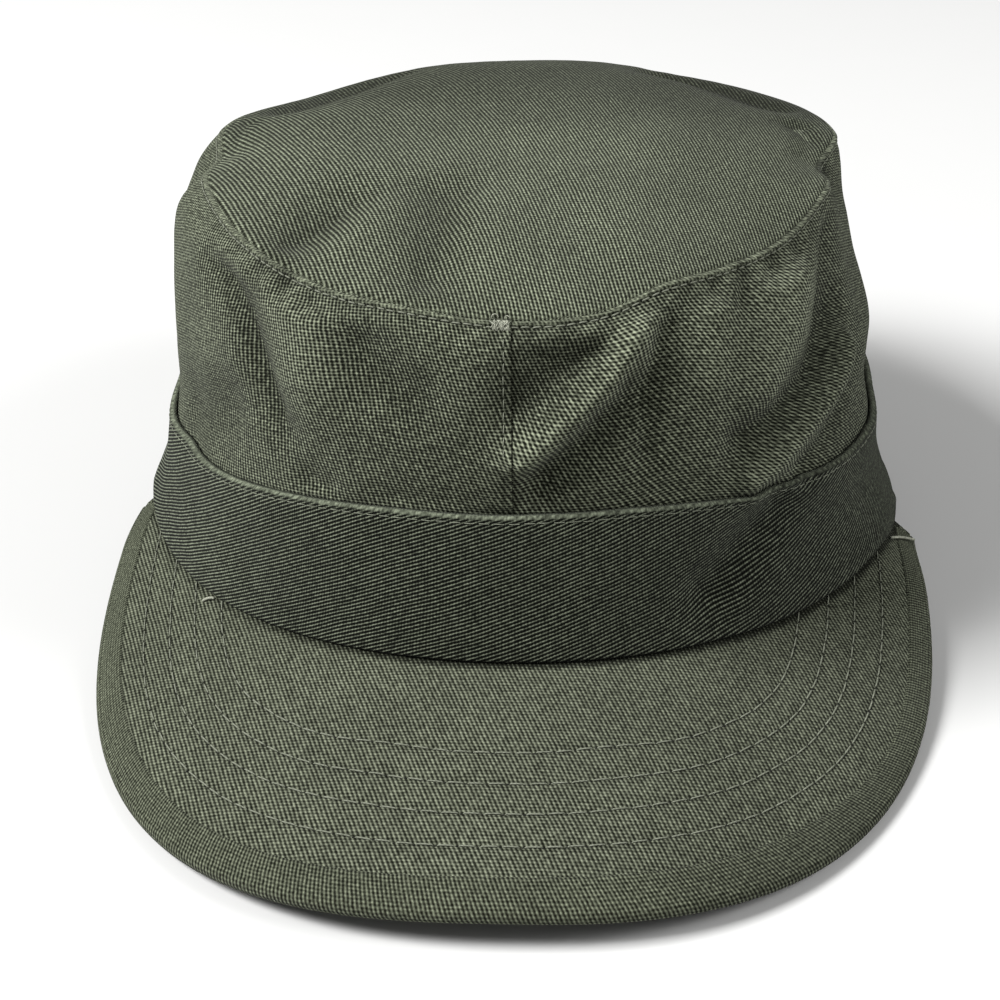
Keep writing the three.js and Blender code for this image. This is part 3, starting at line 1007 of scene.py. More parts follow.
@dataclass(frozen=True)
class Thread:
    """Sewing thread, or the shade in the hole that its needle left."""

    name: str
    colour: tuple[int, int, int]
    shade: tuple[int, int, int]
    roughness: float = 0.85
    roughness_change: float = 0.2
    grain_scale: float = 2600.0
    grain_detail: float = 2.0
    grain_ends: Pair = (0.3, 0.7)
    relief: float = 0.05
    relief_strength: float = 0.6
    specular: float = 0.3

    def material(self) -> bpy.types.Material:
        """Make the thread's material, on Object coordinates.

        Returns:
            The material.
        """
        shader = Shader(self.name)
        place = shader.node("ShaderNodeTexCoord", output="Object")
        grain = shader.noise(place, self.grain_scale, self.grain_detail)
        stops = list(zip(self.grain_ends, (linear(self.shade), linear(self.colour))))
        shader.give(
            Base_Color=shader.node("ShaderNodeValToRGB", {"stops": stops}, {"Fac": grain}, "Color"),
            Roughness=grain * self.roughness_change + (self.roughness - 0.5 * self.roughness_change),
            Specular_IOR_Level=self.specular,
        )
        shader.bump(grain, self.relief, self.relief_strength)
        return shader.material


class Cloth(Enum):
    """The cap's cloths, each cut its own way of the weave."""

    TOP = Twill("top_twill", 0.91, 0.97, 0.28, (137, 144, 122), (8, 10, 2), 0.12, seed=3.0,
                wale_share=0.32, gap_share=0.16, row_share=0.07, unevenness=0.9, sharpness=2.6)
    SIDE = Twill("side_twill", 0.885, 0.645, 0.42, (133, 139, 118), (5, 7, 1), seed=17.0,
                 wale_share=0.28, gap_share=0.3, row_share=0.11, unevenness=1.1, sharpness=2.8)
    # The band's colours are darker than the other cloths', partly for its own nap and partly as painted shade
    # for its self-shadowed gaps and how it faces the light
    BAND = Twill("band_twill", 0.83, 0.625, -0.41, (112, 118, 101), (2, 3, 0), lengthways=True,
                 seed=29.0, wale_share=0.45, gap_share=0.18, row_share=0.08, unevenness=0.9, sharpness=3.5)
    VISOR = Twill("visor_twill", 0.877, 0.77, 0.41, (123, 128, 109), (7, 9, 2), seed=41.0,
                  wale_share=0.27, gap_share=0.12, row_share=0.14, unevenness=0.9, sharpness=2.1)
    BINDING = Twill("binding_twill", 0.84, 0.8, 0.35, (115, 120, 101), (7, 9, 2), seed=53.0,
                    wale_share=0.27, gap_share=0.12, row_share=0.12, unevenness=0.9, sharpness=2.1)


class Yarn(Enum):
    """The cap's threads, and the shade in their needle holes."""

    SEWING = Thread("sewing_thread", (120, 123, 110), (84, 88, 74))
    PALE = Thread("pale_thread", (166, 168, 153), (98, 101, 89))
    # painted shade for the needle holes
    HOLE = Thread("painted_needle_hole_shade", (18, 20, 14), (8, 9, 6), 0.95)


@dataclass
class Stitching:
    """Rows of small stitches and the painted shade of the needle holes between them, as one piece.

    The shape of a stitch is given at five places along it: their shares of its length, their shares of its
    rise above the cloth, where both ends are sunk into it, and their shares of its radius.
    """

    name: str
    shift: Array
    length: float = 3.3
    space: float = 0.55
    radius: float = 0.2
    sides: int = 6
    shares: tuple[float, ...] = (0.0, 0.12, 0.5, 0.88, 1.0)
    rises: tuple[float, ...] = (0.0, 0.5, 1.0, 0.5, 0.0)
    sunk: tuple[float, ...] = (-0.22, 0.0, 0.0, 0.0, -0.22)
    thickness: tuple[float, ...] = (0.55, 0.95, 1.0, 0.95, 0.55)
    stray: float = 0.12
    sway: float = 0.1
    hole_size: Pair = (0.13, 0.24)
    hole_aside: Pair = (0.1, 0.3)
    hole_long: float = 1.25
    hole_wide: float = 0.85
    hole_over: float = 0.05
    hole_under: float = 0.12
    seed: int = 97

    def __post_init__(self) -> None:
        """Start the piece's mesh and its draws."""
        self.mesh = Mesh(self.name, self.shift)
        self.random = np.random.default_rng(len(self.name) * self.seed)

    def tube(self, line: Array, normal: Array, radius: Array) -> None:
        """Add one thread, closed at both ends.

        Args:
            line: Points along its middle.
            normal: The cloth's outward direction at each.
            radius: The thread's radius at each.
        """
        along = unit(np.gradient(line, axis=0))
        side = unit(np.cross(along, normal))
        lift = np.cross(side, along)
        turn = np.arange(self.sides) * math.tau / self.sides
        ring = side[:, None] * np.cos(turn)[None, :, None] + lift[:, None] * np.sin(turn)[None, :, None]
        ids = self.mesh.add(line[:, None] + ring * radius[:, None, None])
        loop = wrapped(ids)
        self.mesh.quads(loop, np.zeros((*loop.shape, 2)), flip=True)
        self.mesh.polygon(ids[0], np.zeros((self.sides, 2)))
        self.mesh.polygon(ids[-1][::-1], np.zeros((self.sides, 2)))

    def hole(self, at: Array, along: Array, normal: Array, size: float) -> None:
        """Add the painted shade of one needle hole, a flat closed drop of dark material in the cloth.

        Args:
            at: Its place.
            along: The direction of the row.
            normal: The cloth's outward direction.
            size: Its radius.
        """
        side = np.cross(normal, along)
        turn = np.arange(self.sides)[:, None] * math.tau / self.sides
        ring = at + (along * np.cos(turn) * self.hole_long + side * np.sin(turn) * self.hole_wide) * size
        poles = [at + normal * self.hole_over, at - normal * self.hole_under]
        ids = self.mesh.add(np.concatenate([ring, poles]))
        loop = np.append(ids[:self.sides], ids[0])
        flat = np.zeros((len(loop), 2))
        self.mesh.fan(ids[self.sides], loop, flat[0], flat, slot=1)
        self.mesh.fan(ids[self.sides + 1], loop, flat[0], flat, flip=True, slot=1)

    def row(self, line: Array, normal: Array, holes: bool = True, rise: float = 0.12) -> None:
        """Sew one row.

        Args:
            line: Points of the row on the cloth, close together.
            normal: The cloth's outward direction at each point.
            holes: Whether needle holes show.
            rise: How far the middle of a stitch stands off the cloth.
        """
        run = run_across(line)
        count = int(run[-1] // (self.length + self.space))
        step = run[-1] / count
        height = rise * np.array(self.rises) + np.array(self.sunk)
        thick = self.radius * np.array(self.thickness)
        for index in range(count):
            start = step * index + self.space / 2 + self.random.uniform(-self.stray, self.stray)
            at = start + (step - self.space) * np.array(self.shares)
            point = np.stack([np.interp(at, run, line[:, k]) for k in range(3)], axis=-1)
            out = unit(np.stack([np.interp(at, run, normal[:, k]) for k in range(3)], axis=-1))
            along = unit(point[-1] - point[0])
            side = np.cross(out[2], along)
            sway = np.linspace(*self.random.uniform(-self.sway, self.sway, 2), len(at))
            point = point + out * height[:, None] + side * sway[:, None]
            self.tube(point, out, thick)
            if holes:
                size = self.random.uniform(*self.hole_size)
                aside = -side * self.random.uniform(*self.hole_aside)
                self.hole(point[0] - out[0] * height[0] + aside - along * self.space / 2, along, out[0], size)


@dataclass(frozen=True)
class SeamProfile:
    """The section of a top-stitched seam: a soft roll at the edge and a groove under the stitches."""

    roll_at: float = 0.65
    roll_width: float = 0.6
    roll: float = 0.3
    groove_at: float = 1.5
    groove_width: float = 0.33
    groove: float = 0.28
    # Painted light on the roll and painted shade in the groove
    light: float = 0.15
    dark: float = 0.16

    def section(self, distance: Array, roll: float, groove: float) -> Array:
        """Return one amount over the roll less another over the groove, at a distance from the edge."""
        over_groove = groove * bell(distance, self.groove_at, self.groove_width)
        return roll * bell(distance, self.roll_at, self.roll_width) - over_groove

    def out(self, distance: Array) -> Array:
        """Return how far the cloth stands out at a distance from the edge."""
        return self.section(distance, self.roll, self.groove)

    def tone(self, distance: Array) -> Array:
        """Return painted light on the roll less painted shade in the groove, at a distance from the edge."""
        return self.section(distance, self.light, self.dark)


CROWN_SEAM = SeamProfile()
CENTRE_SEAM = SeamProfile(roll=0.08, groove_at=1.9, groove=0.08, groove_width=0.4, light=0.02, dark=0.05)
BAND_EDGE = SeamProfile(
    roll_at=0.25, roll_width=0.4, roll=0.08,
    groove_at=1.3, groove_width=0.35, groove=0.05,
    light=0.0, dark=0.0,
)
HEM_EDGE = SeamProfile(
    roll_at=0.8, roll_width=0.9, roll=0.25,
    groove_at=3.0, groove_width=0.55, groove=0.35,
    light=0.06, dark=0.12,
)


@dataclass
class PieceOfCap:
    """What the cap's sub-assemblies share.

    The shift is where the head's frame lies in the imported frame, in millimetres.
    """

    shift: Array

    def dress(self, piece: bpy.types.Object, slot: str, *nodes: str) -> bpy.types.Object:
        """Let a piece ride on the cap.

        Args:
            piece: The piece.
            slot: Not used.
            nodes: The solids that it stands for.

        Returns:
            The piece.
        """
        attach(piece, "root")
        if nodes:
            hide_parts(*nodes)
        return piece

    def sew_wall(self, stitching: Stitching, azimuth: Array, level: Array, out: Numbers, rise: float) -> None:
        """Sew a row on the wall, so tight that no needle holes show."""
        normal = FORM.wall_normal(azimuth, level)
        stitching.row(FORM.wall(azimuth, level, out), normal, holes=False, rise=rise)

    def sew(self, stitching: Stitching, slot: str) -> bpy.types.Object:
        """Finish a piece of stitching."""
        made = stitching.mesh.piece(Yarn.SEWING.value.material(), Yarn.HOLE.value.material())
        return self.dress(made, slot)


@dataclass
class SidePanels(PieceOfCap):
    """Both side panels, lapped and top-stitched where they meet."""

    lap_at: float = 1.3
    column_step: float = 0.45
    edge_columns: tuple[float, ...] = (0.0, 0.1, 0.25, 0.45, 0.65, 0.85, 1.05, 1.2, 1.35, 1.5, 1.7, 2.0, 2.4)
    edge_clear: float = 2.8
    near_rows: tuple[float, ...] = (0.0, 0.3, 0.6, 0.9, 1.2, 1.5, 1.8, 2.1, 2.4, 2.7, 3.0, 3.4, 3.9)
    wall_rows: int = 78
    low_rows: int = 4
    inner_rows: int = 40
    under_seam: float = 0.03
    under_band: float = 3.0
    turned_in: tuple[Pair, ...] = ((0.994, 0.25), (0.986, 0.75), (0.975, 1.5), (0.93, 1.9))
    turned_back: tuple[Pair, ...] = ((0.93, 3.1), (0.97, 3.1))

    above_band: Span = Span(start=(BAND_TOP, 1.06))
    top_edge: Touch = Touch(-0.9, Span(end=(-0.5, 0.9)))
    lapped: Touch = Touch(0.35, Span((-0.4, 0.45), (2.0, 9.0)))
    lapped_under: Touch = Touch(-0.45, Span(end=(-0.2, 1.4)))
    # painted shade beside the other panel's lapped edge
    lap_shade: Touch = Touch(-0.05, Spot(0.2, 0.4))
    waved: Span = Span(start=(1.0, 5.0))
    waves: Waves = (
        (0.22, 0.13, 0.09, 1.1), (0.16, -0.21, 0.17, 0.3), (0.10, 0.37, 0.05, 2.0), (0.08, 0.11, -0.43, 0.7)
    )
    puckers: Pucker = Pucker(0.66, 0.8, 0.13, 0.4, 0.09, 1.0)
    pucker_depth: tuple[Touch, ...] = (
        Touch(0.3),
        Touch(0.4, Spot(34.0, 11.0)),
        Touch(0.25, Spot(-38.0, 7.0)),
    )
    gathered: Touch = Touch(1.0, Spot(0.0, 7.0), Span(start=(2.2, 4.0)))
    # painted light on the puckers' crests and painted shade in their dips
    pucker_shading: Touch = Touch(0.22, Spot(2.3, 1.9))
    # painted shade low on the right, away from the light, and painted light on the front right
    shades_up: tuple[Touch, ...] = (
        Touch(-0.035, Span(start=(38.0, 54.0)), Span(end=(1.35, 1.6))),
        Touch(0.018, Spot(22.0, 15.0), Span(start=(1.1, 1.3))),
    )
    # painted shade in a fold by the seam on the left and in the dented right corner
    shades_at_seam: tuple[Touch, ...] = (
        Touch(-0.2, Spot(-38.0, 3.0), Spot(1.7, 1.9)),
        Touch(-0.34, Spot(77.0, 5.0), Spot(2.0, 4.0)),
    )
    roll_calm: float = 0.55
    calm_roll: Spot = Spot(0.5, 1.0)

    grain_reach: float = 75.0
    grain_turn: float = 0.0020
    grain_climb: float = 0.0021
    grain_lean_right: float = 0.0033
    grain_lean_left: float = 0.0027
    grain_level: float = 1.3

    stitch_step: float = 0.4
    seam_lift: float = 0.22
    seam_rise: float = 0.1
    centre_lift: float = 0.06
    centre_rise: float = 0.06
    centre_ends: Pair = (1.02, 1.93)
    centre_points: int = 60

    def columns(self, start: float, end: float, fine_ends: bool) -> Array:
        """Choose the azimuths of a panel's columns.

        Args:
            start: Azimuth of its first edge.
            end: Azimuth of its last edge.
            fine_ends: Whether they lie closer together at both edges.

        Returns:
            The azimuths.
        """
        inner = np.arange(start, end, self.column_step)[1:-1]
        if not fine_ends:
            return np.concatenate([[start], inner, [end]])
        fine = np.array(self.edge_columns)
        inner = inner[(inner > start + self.edge_clear) & (inner < end - self.edge_clear)]
        return np.concatenate([start + fine, inner, (end - fine)[::-1]])

    def distances(self, azimuths: Array) -> Array:
        """Choose how far below the crown seam each row of the face lies.

        Args:
            azimuths: The panel's columns.

        Returns:
            The distances, from the hem up, one column for each azimuth.
        """
        near = repeated(self.near_rows, len(azimuths))
        covered = (FORM.wall_length(azimuths, BAND_TOP) + self.under_band)[None, :]
        whole = FORM.wall_length(azimuths, HEM)[None, :]
        middle = lerp(self.near_rows[-1], covered, np.linspace(0.0, 1.0, self.wall_rows)[1:, None])
        low = lerp(covered, whole, np.linspace(0.0, 1.0, self.low_rows)[1:, None])
        return np.concatenate([near, middle, low])[::-1]

    def pucker(self, azimuth: Array) -> Array:
        """Return the small puckers along the crown seam, deepest where the front folds start."""
        return touched(self.pucker_depth, azimuth) * self.puckers.at(np.radians(azimuth) * FORM.flat_radius)

    def detail(self, azimuth: Array, level: Array, distance: Array) -> Array:
        """Work out the fine relief: creases, slow waves and puckers along the crown seam.

        Args:
            azimuth: Places round the cap.
            level: Places up the wall.
            distance: How far below the crown seam they lie.

        Returns:
            How far the cloth stands out at each place.
        """
        waves = self.waved.at(distance) * ripple(*FORM.flat(azimuth, level), self.waves)
        puckers = self.gathered.at(distance, distance) * self.pucker(azimuth)
        return FORM.folds(azimuth, level, WALL_CREASES) + waves + puckers

    def tone(self, grid: Array, level: Array, distance: Array, lap: Array) -> Array:
        """Work out the face's painted light and shade, on its folds, seams and puckers and to its right.

        Args:
            grid: Places round the cap.
            level: Places up the wall.
            distance: How far below the crown seam they lie.
            lap: The painted light and shade at the centre seams.

        Returns:
            The painted light and shade at each place, lighter above 0 and darker below.
        """
        # painted light on ridges and painted shade in valleys and creases
        folded = FOLD_PAINTED_SHADING * FORM.folds(grid, level, WALL_FOLDS + WALL_CREASES)
        tone = CROWN_SEAM.tone(distance) + (lap[None, :] + folded) * self.above_band.at(level)
        tone = tone + self.pucker(grid) * self.pucker_shading.at(distance)
        return tone + touched(self.shades_up, grid, level) + touched(self.shades_at_seam, grid, distance)

    def grain(self, along: Array, height: Array) -> Array:
        """Lay the cloth map, whose wales lean more to the right and whose rows follow the crown seam.

        Args:
            along: How far round the cap points lie.
            height: How far up.

        Returns:
            Their cloth coordinates, on a last axis.
        """
        near = np.clip(along, -self.grain_reach, self.grain_reach)
        bowed = near * near + 2.0 * near * (along - near)
        lean = np.where(near > 0, self.grain_lean_right, self.grain_lean_left)
        across = along - np.where(near > 0, self.grain_turn * bowed, 0.0) + lean * near * height
        return np.stack([across, height + self.grain_climb * bowed], axis=-1)

    def lap(self, azimuth: Array, left: bool) -> tuple[Array, Array]:
        """Work out how the cloth lies at the centre seams.

        Args:
            azimuth: Places round the cap.
            left: Whether the panel laps over the other.

        Returns:
            How far it stands out at each place, and its painted light and shade there.
        """
        if left:
            edge = np.minimum(self.lap_at - azimuth, azimuth + HALF_TURN + self.lap_at) * DEGREE_AT_SEAM
            return self.lapped.at(edge) + CENTRE_SEAM.out(edge), CENTRE_SEAM.tone(edge)
        away = np.minimum(azimuth - self.lap_at, HALF_TURN - self.lap_at - azimuth) * DEGREE_AT_SEAM
        return self.lapped_under.at(away), self.lap_shade.at(away)

    def under_top(self, azimuths: Array, rows: Sequence[Pair]) -> Array:
        """Return rows of the edge that is turned in, each by its share of the top panel and its depth."""
        return np.stack([FORM.top(azimuths, np.full_like(azimuths, at), under) for at, under in rows])

    def inside(self, azimuths: Array, lap: Array) -> Array:
        """Work out the rows of the panel's inner face, from the top down.

        Args:
            azimuths: The panel's columns.
            lap: How far the cloth stands out at the centre seams.

        Returns:
            The points, on a last axis.
        """
        levels = np.linspace(CROWN - self.under_seam, HEM, self.inner_rows)[:, None]
        grid, level = np.broadcast_arrays(azimuths[None, :], levels)
        out = (lap[None, :] + FORM.folds(grid, level, WALL_CREASES)) * self.above_band.at(level)
        return FORM.wall(grid, level, out - PANEL_CLOTH)

    def panel(self, name: str, start: float, end: float, left: bool) -> bpy.types.Object:
        """Make one panel.

        Args:
            name: The piece's name.
            start: Azimuth of its first edge.
            end: Azimuth of its last edge.
            left: Whether this panel laps over the other.

        Returns:
            The panel, a closed cloth with its top edge turned in under the top panel.
        """
        azimuths = self.columns(start, end, left)
        distance = self.distances(azimuths)
        level = FORM.levels_below_seam(azimuths, distance)
        grid = np.broadcast_to(azimuths[None, :], distance.shape)
        lap_out, lap_tone = self.lap(azimuths, left)
        relief = self.detail(grid, level, distance) + lap_out[None, :]
        out = CROWN_SEAM.out(distance) + self.above_band.at(level) * relief + self.top_edge.at(distance)
        points = np.concatenate([
            FORM.wall(grid, level, out),
            self.under_top(azimuths, self.turned_in),
            self.under_top(azimuths, self.turned_back),
            self.inside(azimuths, lap_out),
        ])
        face = len(distance)
        tones, calms = np.zeros(points.shape[:2]), np.zeros(points.shape[:2])
        tones[:face] = self.tone(grid, level, distance, lap_tone)
        calms[:face] = self.roll_calm * self.calm_roll.at(distance)
        calms[face:face + len(self.turned_in)] = self.roll_calm
        along = run_across(FORM.smooth_wall(azimuths, np.full_like(azimuths, self.grain_level)))
        along = along - np.interp(0.0 if left else azimuths[0], azimuths, along)
        up = np.mean([run_across(points[:, k]) for k in (0, -1)], axis=0)
        height = np.broadcast_to((up - up[face - 1])[:, None], points.shape[:2]).copy()
        height[:face] = -distance
        mesh = Mesh(name, self.shift)
        mesh.skin(points, self.grain(np.broadcast_to(along[None, :], height.shape), height), tones, calms)
        return mesh.piece(Cloth.SIDE.value.material())

    def crown_stitches(self) -> bpy.types.Object:
        """Sew the row under the crown seam.

        Returns:
            The stitches.
        """
        seam = Stitching("crown_seam_stitches", self.shift, length=1.65, space=0.55, radius=0.17)
        azimuths = np.arange(-HALF_TURN, HALF_TURN + self.stitch_step / 4, self.stitch_step)
        level = FORM.levels_below_seam(azimuths, np.full((1, len(azimuths)), CROWN_SEAM.groove_at))[0]
        self.sew_wall(seam, azimuths, level, self.seam_lift - CROWN_SEAM.groove, self.seam_rise)
        return self.sew(seam, "side_cloth")

    def centre_stitches(self) -> bpy.types.Object:
        """Sew the rows beside the seams at the middle of the front and of the back.

        Returns:
            The stitches.
        """
        centre = Stitching("centre_seam_stitches", self.shift, length=1.7, space=0.7, radius=0.1)
        level = np.linspace(*self.centre_ends, self.centre_points)
        inset = CENTRE_SEAM.groove_at / DEGREE_AT_SEAM
        for azimuth in (self.lap_at - inset, inset - HALF_TURN - self.lap_at):
            place = np.full_like(level, azimuth)
            out = self.lap(place, True)[0] + self.centre_lift + FORM.folds(place, level, WALL_CREASES)
            self.sew_wall(centre, place, level, out, self.centre_rise)
        return self.sew(centre, "side_cloth")

    def build(self) -> list[bpy.types.Object]:
        """Build and dress both panels and the stitches on them.

        Returns:
            The pieces.
        """
        left = self.panel("side_cloth_left", -HALF_TURN - self.lap_at, self.lap_at, True)
        right = self.panel("side_cloth_right", 0.0, HALF_TURN, False)
        self.dress(left, "side_cloth", "side_panel_left")
        self.dress(right, "side_cloth", "side_panel_right")
        return [left, right, self.crown_stitches(), self.centre_stitches()]


@dataclass
class TopPanel(PieceOfCap):
    """The domed top panel, caught in the crown seam."""

    columns: int = 450
    rim_rows: tuple[float, ...] = (0.0, 0.5, 0.9, 1.3, 1.7, 2.2, 2.8, 3.6, 4.6)
    inner_rows: int = 62
    under_rows: int = 12
    under_ends: Pair = (0.985, 0.06)
    under_gap: float = 0.5

    rim_edge: Touch = Touch(-0.5, Span(end=(0.2, 1.0)))
    waved: Span = Span(start=(1.5, 7.0))
    waves: Waves = (
        (0.20, 0.09, 0.06, 0.4), (0.12, -0.13, 0.11, 1.7), (0.06, 0.05, 0.21, 2.6)
    )
    puckers: Pucker = Pucker(0.58, 0.9, 0.11, 0.4, 0.07, 2.0)
    gathered: Touch = Touch(0.12, Spot(0.0, 8.0), Span(start=(1.2, 4.0)))
    caught: Touch = Touch(-0.6, Spot(-0.6, 2.6), Spot(1.1, 0.7))
    # painted shade in the dimple where the tack draws the seam in
    caught_shade: Touch = Touch(-0.3, Spot(-0.6, 2.6), Spot(1.1, 0.7))
    # painted shade towards the back and the right, away from the light
    shade_behind: Touch = Touch(-0.13, Span(start=(-30.0, 40.0)))
    shade_right: Touch = Touch(-0.07, Span(start=(10.0, 55.0)))
    calm_behind: Touch = Touch(0.35, Span(start=(-10.0, 60.0)))
    grain_draw: float = 0.00205
    grain_fan: float = 0.0018

    def height(self, point: Array, distance: Array, along: Array) -> Array:
        """Work out the fine relief of the panel.

        Args:
            point: Its points.
            distance: How far from the crown seam they lie.
            along: How far round the cap.

        Returns:
            How far the cloth stands up at each point.
        """
        x, y = point[..., 0], point[..., 1]
        waves = self.waved.at(distance) * (raised(x, y, TOP_CREASES) + ripple(x, y, self.waves))
        puckers = self.gathered.at(distance, distance) * self.puckers.at(along)
        return waves + puckers + self.rim_edge.at(distance) + self.caught.at(along, distance)

    def painted_shading(self, x: Array, y: Array) -> Array:
        """Return painted light on the panel's ridges and painted shade in its valleys, to the back and right.
        """
        folded = FOLD_PAINTED_SHADING * raised(x, y, TOP_FOLDS + TOP_CREASES)
        return folded + self.shade_behind.at(y) + self.shade_right.at(x)

    def grain(self, x: Array, y: Array) -> Array:
        """Return cloth coordinates whose wales draw together to the right and fan out to the back."""
        return np.stack([x + self.grain_draw * x * x - self.grain_fan * x * y, y], axis=-1)

    def build(self) -> list[bpy.types.Object]:
        """Build and dress the panel.

        Returns:
            The panel alone, in a list.
        """
        azimuths = around(self.columns)
        seam = FORM.smooth_wall(azimuths, np.full_like(azimuths, CROWN))
        radius = np.linalg.norm(seam[:, :2], axis=-1)
        near = repeated(self.rim_rows, self.columns)
        share = np.linspace(0.0, 1.0, self.inner_rows + 1)[1:-1, None]
        distance = np.concatenate([near, lerp(self.rim_rows[-1], radius[None, :], share)])[::-1]
        grid = np.broadcast_to(azimuths[None, :], distance.shape)
        along = np.radians(grid) * FORM.flat_radius
        point = FORM.top(grid, 1.0 - distance / radius[None, :], 0.0)
        point[..., 2] += self.height(point, distance, along)
        depth = PANEL_CLOTH + self.under_gap
        under = FORM.top(azimuths[None, :], np.linspace(*self.under_ends, self.under_rows)[:, None], depth)
        points = np.concatenate([point, under])
        tones = np.zeros(points.shape[:2])
        tones[:len(point)] = self.caught_shade.at(along, distance) + self.painted_shading(point[..., 0], point[..., 1])
        mesh = Mesh("top_cloth", self.shift)
        ids = wrapped(mesh.add(points, tones, self.calm_behind.at(points[..., 1])))
        cloth = wrapped(self.grain(points[..., 0], points[..., 1]))
        middle = mesh.add(np.array([FORM.top(0.0, 0.0, 0.0), FORM.top(0.0, 0.0, depth)]))
        mesh.quads(ids, cloth, flip=True)
        mesh.fan(middle[0], ids[0], np.zeros(2), cloth[0])
        mesh.fan(middle[1], ids[-1], np.zeros(2), cloth[-1], flip=True)
        made = mesh.piece(Cloth.TOP.value.material())
        self.dress(made, "top_cloth", "top_panel")
        return [made]


@dataclass
class Band(PieceOfCap):
    """The broad band round the cap, with a folded top edge."""

    columns: int = 560
    near_rows: tuple[float, ...] = (0.0, 0.2, 0.4, 0.55, 0.7, 0.9, 1.1, 1.3, 1.5, 1.9, 2.4, 3.3)
    wall_rows: int = 34
    hem_rows: tuple[float, ...] = (4.0, 3.4, 3.0, 2.6, 2.0, 1.5, 1.0, 0.6, 0.3, 0.0)
    inner_rows: int = 8
    inner_cloth: float = 3.0
    grain_level: float = 0.5

    hemmed: Span = Span(start=(78.0, 82.0))
    top_edge: Touch = Touch(-0.8, Span(end=(-0.1, 0.5)))
    low_edge: Touch = Touch(-0.5, Span(end=(-0.1, 0.6)))
    waved: Touch = Touch(1.0, Span(start=(2.8, 7.0)), Span(start=(2.0, 6.0)))
    waves: Waves = (
        (0.16, 0.09, 0.13, 0.2), (0.12, -0.19, 0.11, 1.4), (0.08, 0.31, 0.17, 2.2)
    )
    joined: Spot = Spot(0.0, 0.5)
    join_groove: float = 0.6
    join_shade: float = 0.4
    # painted highlight along the folded top edge
    top_edge_highlight: Touch = Touch(0.34, Span(end=(0.3, 0.55)))
    top_calm: Touch = Touch(0.85, Span(end=(0.4, 0.7)))
    # painted shade on the band's right, away from the light, and a little left of the middle
    shades: tuple[Touch, ...] = (
        Touch(-0.11, Span((10.0, 50.0), (90.0, 150.0))),
        Touch(-0.02, Spot(-22.0, 16.0)),
    )
    # painted shadow along the band's foot, where it meets the visor
    foot_shades: tuple[Touch, ...] = (
        Touch(-0.22, Span(), Span(end=(0.1, 0.9))),
        Touch(-0.1, Span(start=(-60.0, 0.0)), Span(end=(0.1, 0.9))),
    )
    # shares of the hem seam's and the folds' painted light and shade
    hem_tone: float = 0.6
    fold_tone: float = 0.5

    stitch_lift: float = 0.05
    stitch_rise: float = 0.05
    stitch_step: float = 0.5
    hem_stitches_from: float = 84.0

    def rows(self, azimuths: Array) -> Array:
        """Choose how far below its top edge each row of the band lies.

        Args:
            azimuths: The band's columns.

        Returns:
            The distances, from the top down, one column for each azimuth.
        """
        tall = FORM.wall_length(azimuths, HEM) - FORM.wall_length(azimuths, BAND_TOP)
        near = repeated(self.near_rows, len(azimuths))
        hem = tall[None, :] - np.array(self.hem_rows)[:, None]
        share = np.linspace(0.0, 1.0, self.wall_rows)[1:-1, None]
        return np.concatenate([near, lerp(near[-1][None, :], hem[0][None, :], share), hem])

    def face(self, azimuths: Array, down: Array) -> tuple[Array, Array]:
        """Work out the band's outer face, from the top down.

        Args:
            azimuths: Its columns.
            down: How far below its top edge each row lies.

        Returns:
            Its points, and the painted light and shade at each.
        """
        to_top = FORM.wall_length(azimuths, BAND_TOP)
        level = np.minimum(FORM.levels_below_seam(azimuths, to_top[None, :] + down), BAND_TOP)
        level[-1] = HEM
        up = down[-1][None, :] - down
        grid = np.broadcast_to(azimuths[None, :], level.shape)
        behind = self.hemmed.at(np.abs(grid))
        join = self.joined.at((HALF_TURN - np.abs(grid)) * DEGREE_BEHIND)
        out = BAND_EDGE.out(down) + behind * HEM_EDGE.out(up) - self.join_groove * join
        out = out + self.top_edge.at(down) + self.low_edge.at(up)
        out = out + self.waved.at(down, up) * ripple(*FORM.flat(grid, level), self.waves)
        # painted light and shade of the band's edges, seams, folds, right side and foot
        tone = BAND_EDGE.tone(down) + self.hem_tone * behind * HEM_EDGE.tone(up) - self.join_shade * join
        tone = tone + self.top_edge_highlight.at(down) + touched(self.shades, grid)
        tone = tone + (1.0 - behind) * touched(self.foot_shades, grid, up)
        tone = tone + self.fold_tone * FOLD_PAINTED_SHADING * FORM.folds(grid, level, WALL_FOLDS)
        return FORM.wall(grid, level, GAP + BAND_CLOTH + out), tone

    def band(self, azimuths: Array) -> bpy.types.Object:
        """Make the band.

        Args:
            azimuths: Its columns.

        Returns:
            The band, closed inside and out.
        """
        down = self.rows(azimuths)
        face, tone = self.face(azimuths, down)
        inner_level = np.linspace(HEM, BAND_TOP, self.inner_rows)[:, None]
        points = np.concatenate([face[::-1], FORM.wall(azimuths[None, :], inner_level, GAP)[::-1]])
        tones, calms = np.zeros(points.shape[:2]), np.zeros(points.shape[:2])
        tones[:len(face)] = tone[::-1]
        calms[:len(face)] = self.top_calm.at(down[::-1])
        levels = np.full(self.columns + 1, self.grain_level)
        along = run_across(FORM.smooth_wall(np.append(azimuths, HALF_TURN), levels))
        inner_height = (inner_level[::-1] - BAND_TOP) * down[-1][None, :] + self.inner_cloth
        height = wrapped(np.concatenate([-down[::-1], inner_height]))
        mesh = Mesh("band_cloth", self.shift)
        ids = wrapped(mesh.add(points, tones, calms))
        mesh.rolled(ids, np.stack(np.broadcast_arrays(along[None, :], height), axis=-1))
        return mesh.piece(Cloth.BAND.value.material())

